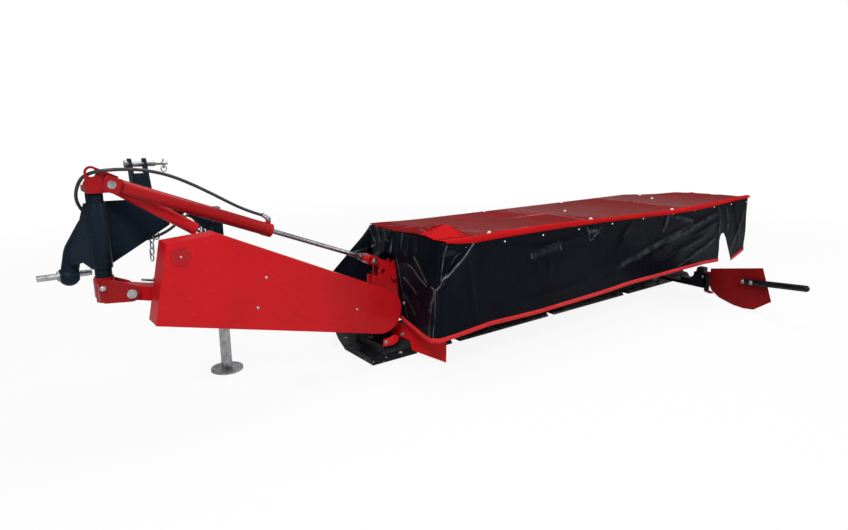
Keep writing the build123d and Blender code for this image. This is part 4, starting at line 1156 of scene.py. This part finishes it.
def placeHead(kind, name, body, place, direction, sizes, spin=0.0, finish="zincPlate"):
    # sizes: radius both ways and height, in mm
    piece = copyOf(shapes[kind])
    setDown(piece, at(*place), direction, spin, [size / 1000 for size in sizes])
    dress(piece, name, body, finish)


shapes = {"bolt": buildBolt(), "rivet": buildRivet()}
toRear, toTop = (0, -1, 0), (0, 0, 1)

# name: kind, radius in mm, body, and places as (point, direction)
fastenings = {
    "guardScrew": ("rivet", 7, "arm", [((628, -200, 591), toRear), ((579, -200, 455), toRear),
                                       ((1104, -200, 349), toRear)]),
    "bracketBolt": ("bolt", 8, "swivel", [((-21, -72, 620), toRear)]),
    "carrierBolt": ("bolt", 6, "mower_bar", [((3946, -510, 139), (-1, 0, 0))]),
    "deflectorBolt": ("bolt", 8, "mower_bar", [((1413, -160, 134), (-1, -0.2, 0))]),
}
for name, (kind, radius, body, spots) in fastenings.items():
    for k, (point, direction) in enumerate(spots):
        placeHead(kind, name + str(k + 1), body, point, direction, [radius] * 3, 0.4 * k)


# bolts through the cover top as (body, height over the cloth, places), and the rivets under its rear band
coverBolts = {
    "rear": ("mower_bar", 1, [(1739, -492), (2578, -492), (3464, -492)]),
    "middle": ("flap", 1, [(2869, -52), (3991, -2)]),
    "front": ("flap", 4, [(2386, 250), (3179, 246), (4080, 168)]),
}
coverRivets = {"x": [1560, 1830, 2130, 2440, 2760, 3090, 3441, 3720, 3989, 4242, 4480], "z": 664, "innerY": -514,
               "sideFrom": 1600, "firstRow": 60, "proud": 1.5}


def placeCoverBolts():
    for group, (body, rise, spots) in coverBolts.items():
        for k, (x, y) in enumerate(spots):
            place = (x, y, topHeight(x, y, topShare(y)) + rise)
            placeHead("bolt", group + "CoverBolt" + str(k + 1), body, place, toTop, (8, 8, 8), k, "brightZinc")
    side = [row[0] for row in curtainRows[coverRivets["firstRow"]:]]
    for k, x in enumerate(coverRivets["x"]):
        y = min((abs(p.x - x), p.y) for p in side)[1] if x > coverRivets["sideFrom"] else coverRivets["innerY"]
        place = (x, y - coverRivets["proud"], coverRivets["z"])
        placeHead("rivet", "edgeRivet" + str(k + 1), "mower_bar", place, toRear, (4.8, 4.8, 4.8), 0, "brightZinc")


placeCoverBolts()
print("bolts and rivets ready")


# inspection cap on the guard
guardCap = {"place": (262, -200, 736), "radius": 38, "depth": 3}


def buildGuardCap():
    depth = guardCap["depth"] / 1000
    cap = newCylinder(48, guardCap["radius"] / 1000, depth, (0, 0, depth / 2))
    stepFace(cap, [(0.002, 0.0008), (0.003, -0.0012)])
    x, y, z = guardCap["place"]
    setDown(cap, at(x, y, z), toRear)
    dress(cap, "guardCap", "arm", "capPaint")
    placeHead("rivet", "guardCapScrew", "arm", (x, y - 2, z), toRear, (5, 5, 5))


buildGuardCap()


# half-round plate wrapped round the king pin's sleeve, between its seams
wrap = {"radius": 39.5, "low": 690, "high": 963, "cut": 6, "thick": 7}


def buildWrap():
    low, high = wrap["low"] / 1000, wrap["high"] / 1000
    plate = newCylinder(64, wrap["radius"] / 1000, high - low, (pinX, pinY, (low + high) / 2), "NOTHING")
    openEdit(plate)
    bpy.ops.mesh.bisect(plane_co=(pinX, pinY + wrap["cut"] / 1000, 0), plane_no=(0, 1, 0), clear_outer=True)
    closeEdit()
    addWall(plate, wrap["thick"] / 1000, -1)
    softEdges(plate, 0.0015)
    dress(plate, "sleeveWrap", "headstock", "darkPaint")


buildWrap()


# rectangular eye plate of the lift cylinder, turned with its barrel
eyePlate = {"middle": (63, -52, 1034), "sizes": (66, 6, 66), "turn": 21.4}


def buildEyePlate():
    clearSelection()
    bpy.ops.mesh.primitive_cube_add(size=1, location=(0, 0, 0))
    plate = bpy.context.object
    plate.data.transform(Matrix.Diagonal([size / 1000 for size in eyePlate["sizes"]] + [1]))
    stepFace(plate, [(0.006, 0.0012)], toRear)
    softEdges(plate, 0.002)
    turn = Matrix.Rotation(math.radians(eyePlate["turn"]), 4, "Y")
    plate.data.transform(Matrix.Translation(at(*eyePlate["middle"])) @ turn)
    dress(plate, "cylinderEyePlate", "lift_barrel", "barrelPaint")


buildEyePlate()
print("guard cap, sleeve wrap and eye plate ready")


# relief spring: a coil between its seat and its eye, with the rod through it; start and end are along its line
coil = {"from": (60, 60, 1036), "to": (660.3, 60, 630.5), "start": 388, "end": 662, "radius": 20, "wire": 4.2,
        "turns": 13, "perTurn": 12, "rodStart": 384, "rodLong": 320, "rod": 6.5, "eye": (18, 6.2)}


def buildSpring():
    begin = Vector(coil["from"])
    line = (Vector(coil["to"]) - begin).normalized()
    points = []
    steps = coil["turns"] * coil["perTurn"]
    side = Vector((0, 1, 0))
    up = line.cross(side)
    for k in range(steps + 1):
        angle = 2 * math.pi * coil["turns"] * k / steps
        centre = begin + line * (coil["start"] + (coil["end"] - coil["start"]) * k / steps)
        points.append(at(*(centre + (side * math.cos(angle) + up * math.sin(angle)) * coil["radius"])))
    wire = asMesh(lineCurve("reliefCoil", points, coil["wire"] / 1000))
    dress(wire, "reliefCoil", None, "zincPlate", 50)
    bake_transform(wire)
    long = coil["rodLong"] / 1000
    rod = newCylinder(24, coil["rod"] / 1000, long, (0, 0, long / 2))
    softEdges(rod, 0.001)
    setDown(rod, at(*(begin + line * coil["rodStart"])), line)
    radius, thick = coil["eye"]
    eye = newRing(radius / 1000, thick / 1000, 40, 12)
    setDown(eye, at(*coil["to"]), (0, 1, 0))
    piece = joinAll([rod, eye])
    dress(piece, "reliefSpring", "relief_rod", "zincPlate", 50)
    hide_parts("relief_spring")


buildSpring()
print("relief spring ready")


def cutPlate(outline, thick, soft=1.5):
    # a flat plate with the given outline in (across, up), lying in the piece's own ground plane
    clearSelection()
    bpy.ops.mesh.primitive_circle_add(vertices=len(outline), radius=0.05, fill_type="NGON")
    plate = bpy.context.object
    for corner, (across, up) in zip(plate.data.vertices, outline):
        corner.co = Vector((across / 1000, up / 1000, 0))
    openEdit(plate)
    bpy.ops.mesh.extrude_region_move(TRANSFORM_OT_translate={"value": (0, 0, thick / 1000)})
    bpy.ops.mesh.select_all(action="SELECT")
    bpy.ops.mesh.normals_make_consistent(inside=False)
    closeEdit()
    softEdges(plate, soft / 1000)
    return plate


# end of the lift rod: a round-ended cheek beside the lever, and the block behind the eye that joins it to the rod
clevis = {"eye": (1293, 552), "turn": -21.43, "face": -75, "thick": 5, "radius": 20, "reach": 34, "block": (24, 40),
          "blockHalf": 17, "blockFace": 12, "bolt": (11, 11, 6)}


def buildClevis():
    x, z = clevis["eye"]
    spin = math.radians(clevis["turn"])
    face, thick = clevis["face"], clevis["thick"]
    cheek = newCylinder(48, clevis["radius"] / 1000, thick / 1000)
    pickParts(cheek, "VERT", lambda point: point.co.x < -0.0001)
    bpy.ops.transform.translate(value=(-clevis["reach"] / 1000, 0, 0))
    closeEdit()
    softEdges(cheek, 0.0015)
    setDown(cheek, at(x, face - thick / 2, z), toRear, spin)
    near, far = clevis["block"]
    half = clevis["blockHalf"]
    outline = [(-far, -half), (-near, -half), (-near, half), (-far, half)]
    block = cutPlate(outline, clevis["blockFace"] - face + thick, 4)
    setDown(block, at(x, clevis["blockFace"], z), toRear, spin)
    dress(joinAll([cheek, block]), "rodClevis", "lift_rod", "guardPaint")
    placeHead("bolt", "clevisBolt", "lift_rod", (x, face - thick, z), toRear, clevis["bolt"], 0.3)


buildClevis()


# upright plates, whose face is at one y: the bracket between the shoe and the deflector, and the arm's latch, which is
# a flat steel bar held by a red block on the beam
plates = {
    "shoeBracket": {"body": "mower_bar", "finish": "deflectorPaint", "slot": "deflector_red", "y": -170, "thick": 6,
                    "soft": 1.5, "outline": [(1276, 96), (1340, 92), (1372, 104), (1380, 134), (1350, 150), (1318, 138),
                                             (1280, 136)]},
    "latchBar": {"body": "arm", "finish": "zincPlate", "slot": "bare_steel", "y": -12, "thick": 22, "soft": 1,
                 "outline": [(139, 616), (186, 608), (188, 614), (140, 624)]},
    "latchBlock": {"body": "arm", "finish": "guardPaint", "slot": "guard_red", "y": -14, "thick": 16, "soft": 2,
                   "outline": [(187, 572), (219, 570), (219, 618), (211, 628), (196, 629), (187, 618)]},
}


def placePlate(name):
    facts = plates[name]
    plate = cutPlate(facts["outline"], facts["thick"], facts["soft"])
    setDown(plate, at(0, facts["y"], 0), toRear)
    dress(plate, name, facts["body"], facts["finish"])


placePlate("shoeBracket")
placeHead("bolt", "shoeBracketBolt", "mower_bar", (1296, -176, 118), toRear, (8, 8, 8), 0.2)
placePlate("latchBar")
placePlate("latchBlock")
print("clevis, bracket and latch ready")


# safety chain on the gusset: a ring and its links, each turned a quarter from the one before
chain = {"top": (259, 242, 757), "lean": (-9, 0, -114), "ring": (287, 268, 753), "links": 4, "wire": 3.4, "radius": 10,
         "stretch": 1.7, "turn": 25}


def buildChain():
    link = newRing(chain["radius"] / 1000, chain["wire"] / 1000, 28, 10)
    long = chain["radius"] * (chain["stretch"] - 1) / 1000
    pickParts(link, "VERT", lambda point: point.co.y > 0.0001)
    bpy.ops.transform.translate(value=(0, 2 * long, 0))
    closeEdit()
    softEdges(link, 0.0001, 1, 170)
    link.data.transform(Matrix.Translation((0, -long, 0)))
    upright = Matrix.Rotation(math.radians(90), 4, "X")
    count = chain["links"]
    spots = [(Vector(chain["top"]) + Vector(chain["lean"]) * (k + 0.5) / count, 90 * (k % 2) + chain["turn"])
             for k in range(count)]
    parts = []
    for place, turn in spots + [(chain["ring"], 0)]:
        piece = copyOf(link)
        spin = Matrix.Rotation(math.radians(turn), 4, "Z")
        piece.data.transform(Matrix.Translation(at(*place)) @ spin @ upright)
        parts.append(piece)
    bpy.data.objects.remove(link)
    dress(joinAll(parts), "safetyChain", "headstock", "zincPlate", 60)


buildChain()


# handle and linch ring at the end of the top link pin
linch = {"from": 345, "to": 402, "y": 402, "z": 1084, "radius": 8, "ring": (384, 1058), "ringRadius": 15, "wire": 2.8,
         "peg": (4.5, 46), "pegDrop": 2}


def buildLinch():
    y, z = linch["y"], linch["z"]
    stem = newCylinder(28, linch["radius"] / 1000, (linch["to"] - linch["from"]) / 1000)
    stepFace(stem, [(0.002, 0.002)])
    setDown(stem, at((linch["from"] + linch["to"]) / 2, y, z), (1, 0, 0))
    x, ringZ = linch["ring"]
    ring = newRing(linch["ringRadius"] / 1000, linch["wire"] / 1000, 36, 10)
    setDown(ring, at(x, y, ringZ), (0.35, -1, 0))
    radius, long = linch["peg"]
    peg = newCylinder(16, radius / 1000, long / 1000)
    softEdges(peg, 0.001)
    setDown(peg, at(x, y, z - linch["pegDrop"]))
    dress(joinAll([stem, ring, peg]), "linchPin", "headstock", "zincPlate", 50)


buildLinch()


# screws that hold the rod to the swath board: how far along it from its hinge, height, and how far off its middle
boardScrews = {"hinge": (3974, -535), "along": (-0.4226, -0.9063), "spots": [(407, 208), (482, 221)], "off": 41,
               "sizes": (11, 11, 9)}


def placeBoardScrews():
    (x, y), (ax, ay) = boardScrews["hinge"], boardScrews["along"]
    side = Vector((ay, -ax, 0))
    for k, (far, z) in enumerate(boardScrews["spots"]):
        point = Vector((x + ax * far, y + ay * far, z)) + side * boardScrews["off"]
        placeHead("bolt", "boardScrew" + str(k + 1), "swath", point, side, boardScrews["sizes"], k)


placeBoardScrews()
placeHead("rivet", "curtainButton", "mower_bar", (1384, -216, 334), (-1, -0.15, 0), (11, 9, 10))


# ferrule where the hose leaves its elbow, drawn wide and then sized
ferrule = {"place": (716, -6, 841), "direction": (0.78, 0, -0.62), "radius": 30, "depth": 14,
           "sizes": (0.33, 0.33, 2.0)}


def buildFerrule():
    collar = newCylinder(40, ferrule["radius"] / 1000, ferrule["depth"] / 1000)
    stepFace(collar, [(0.004, 0.002)])
    softEdges(collar, 0.001)
    setDown(collar, at(*ferrule["place"]), ferrule["direction"], 0, ferrule["sizes"])
    dress(collar, "hoseFerrule", "lift_barrel", "zincPlate")


buildFerrule()
print("small fittings ready")

for pattern in shapes.values():
    bpy.data.objects.remove(pattern)
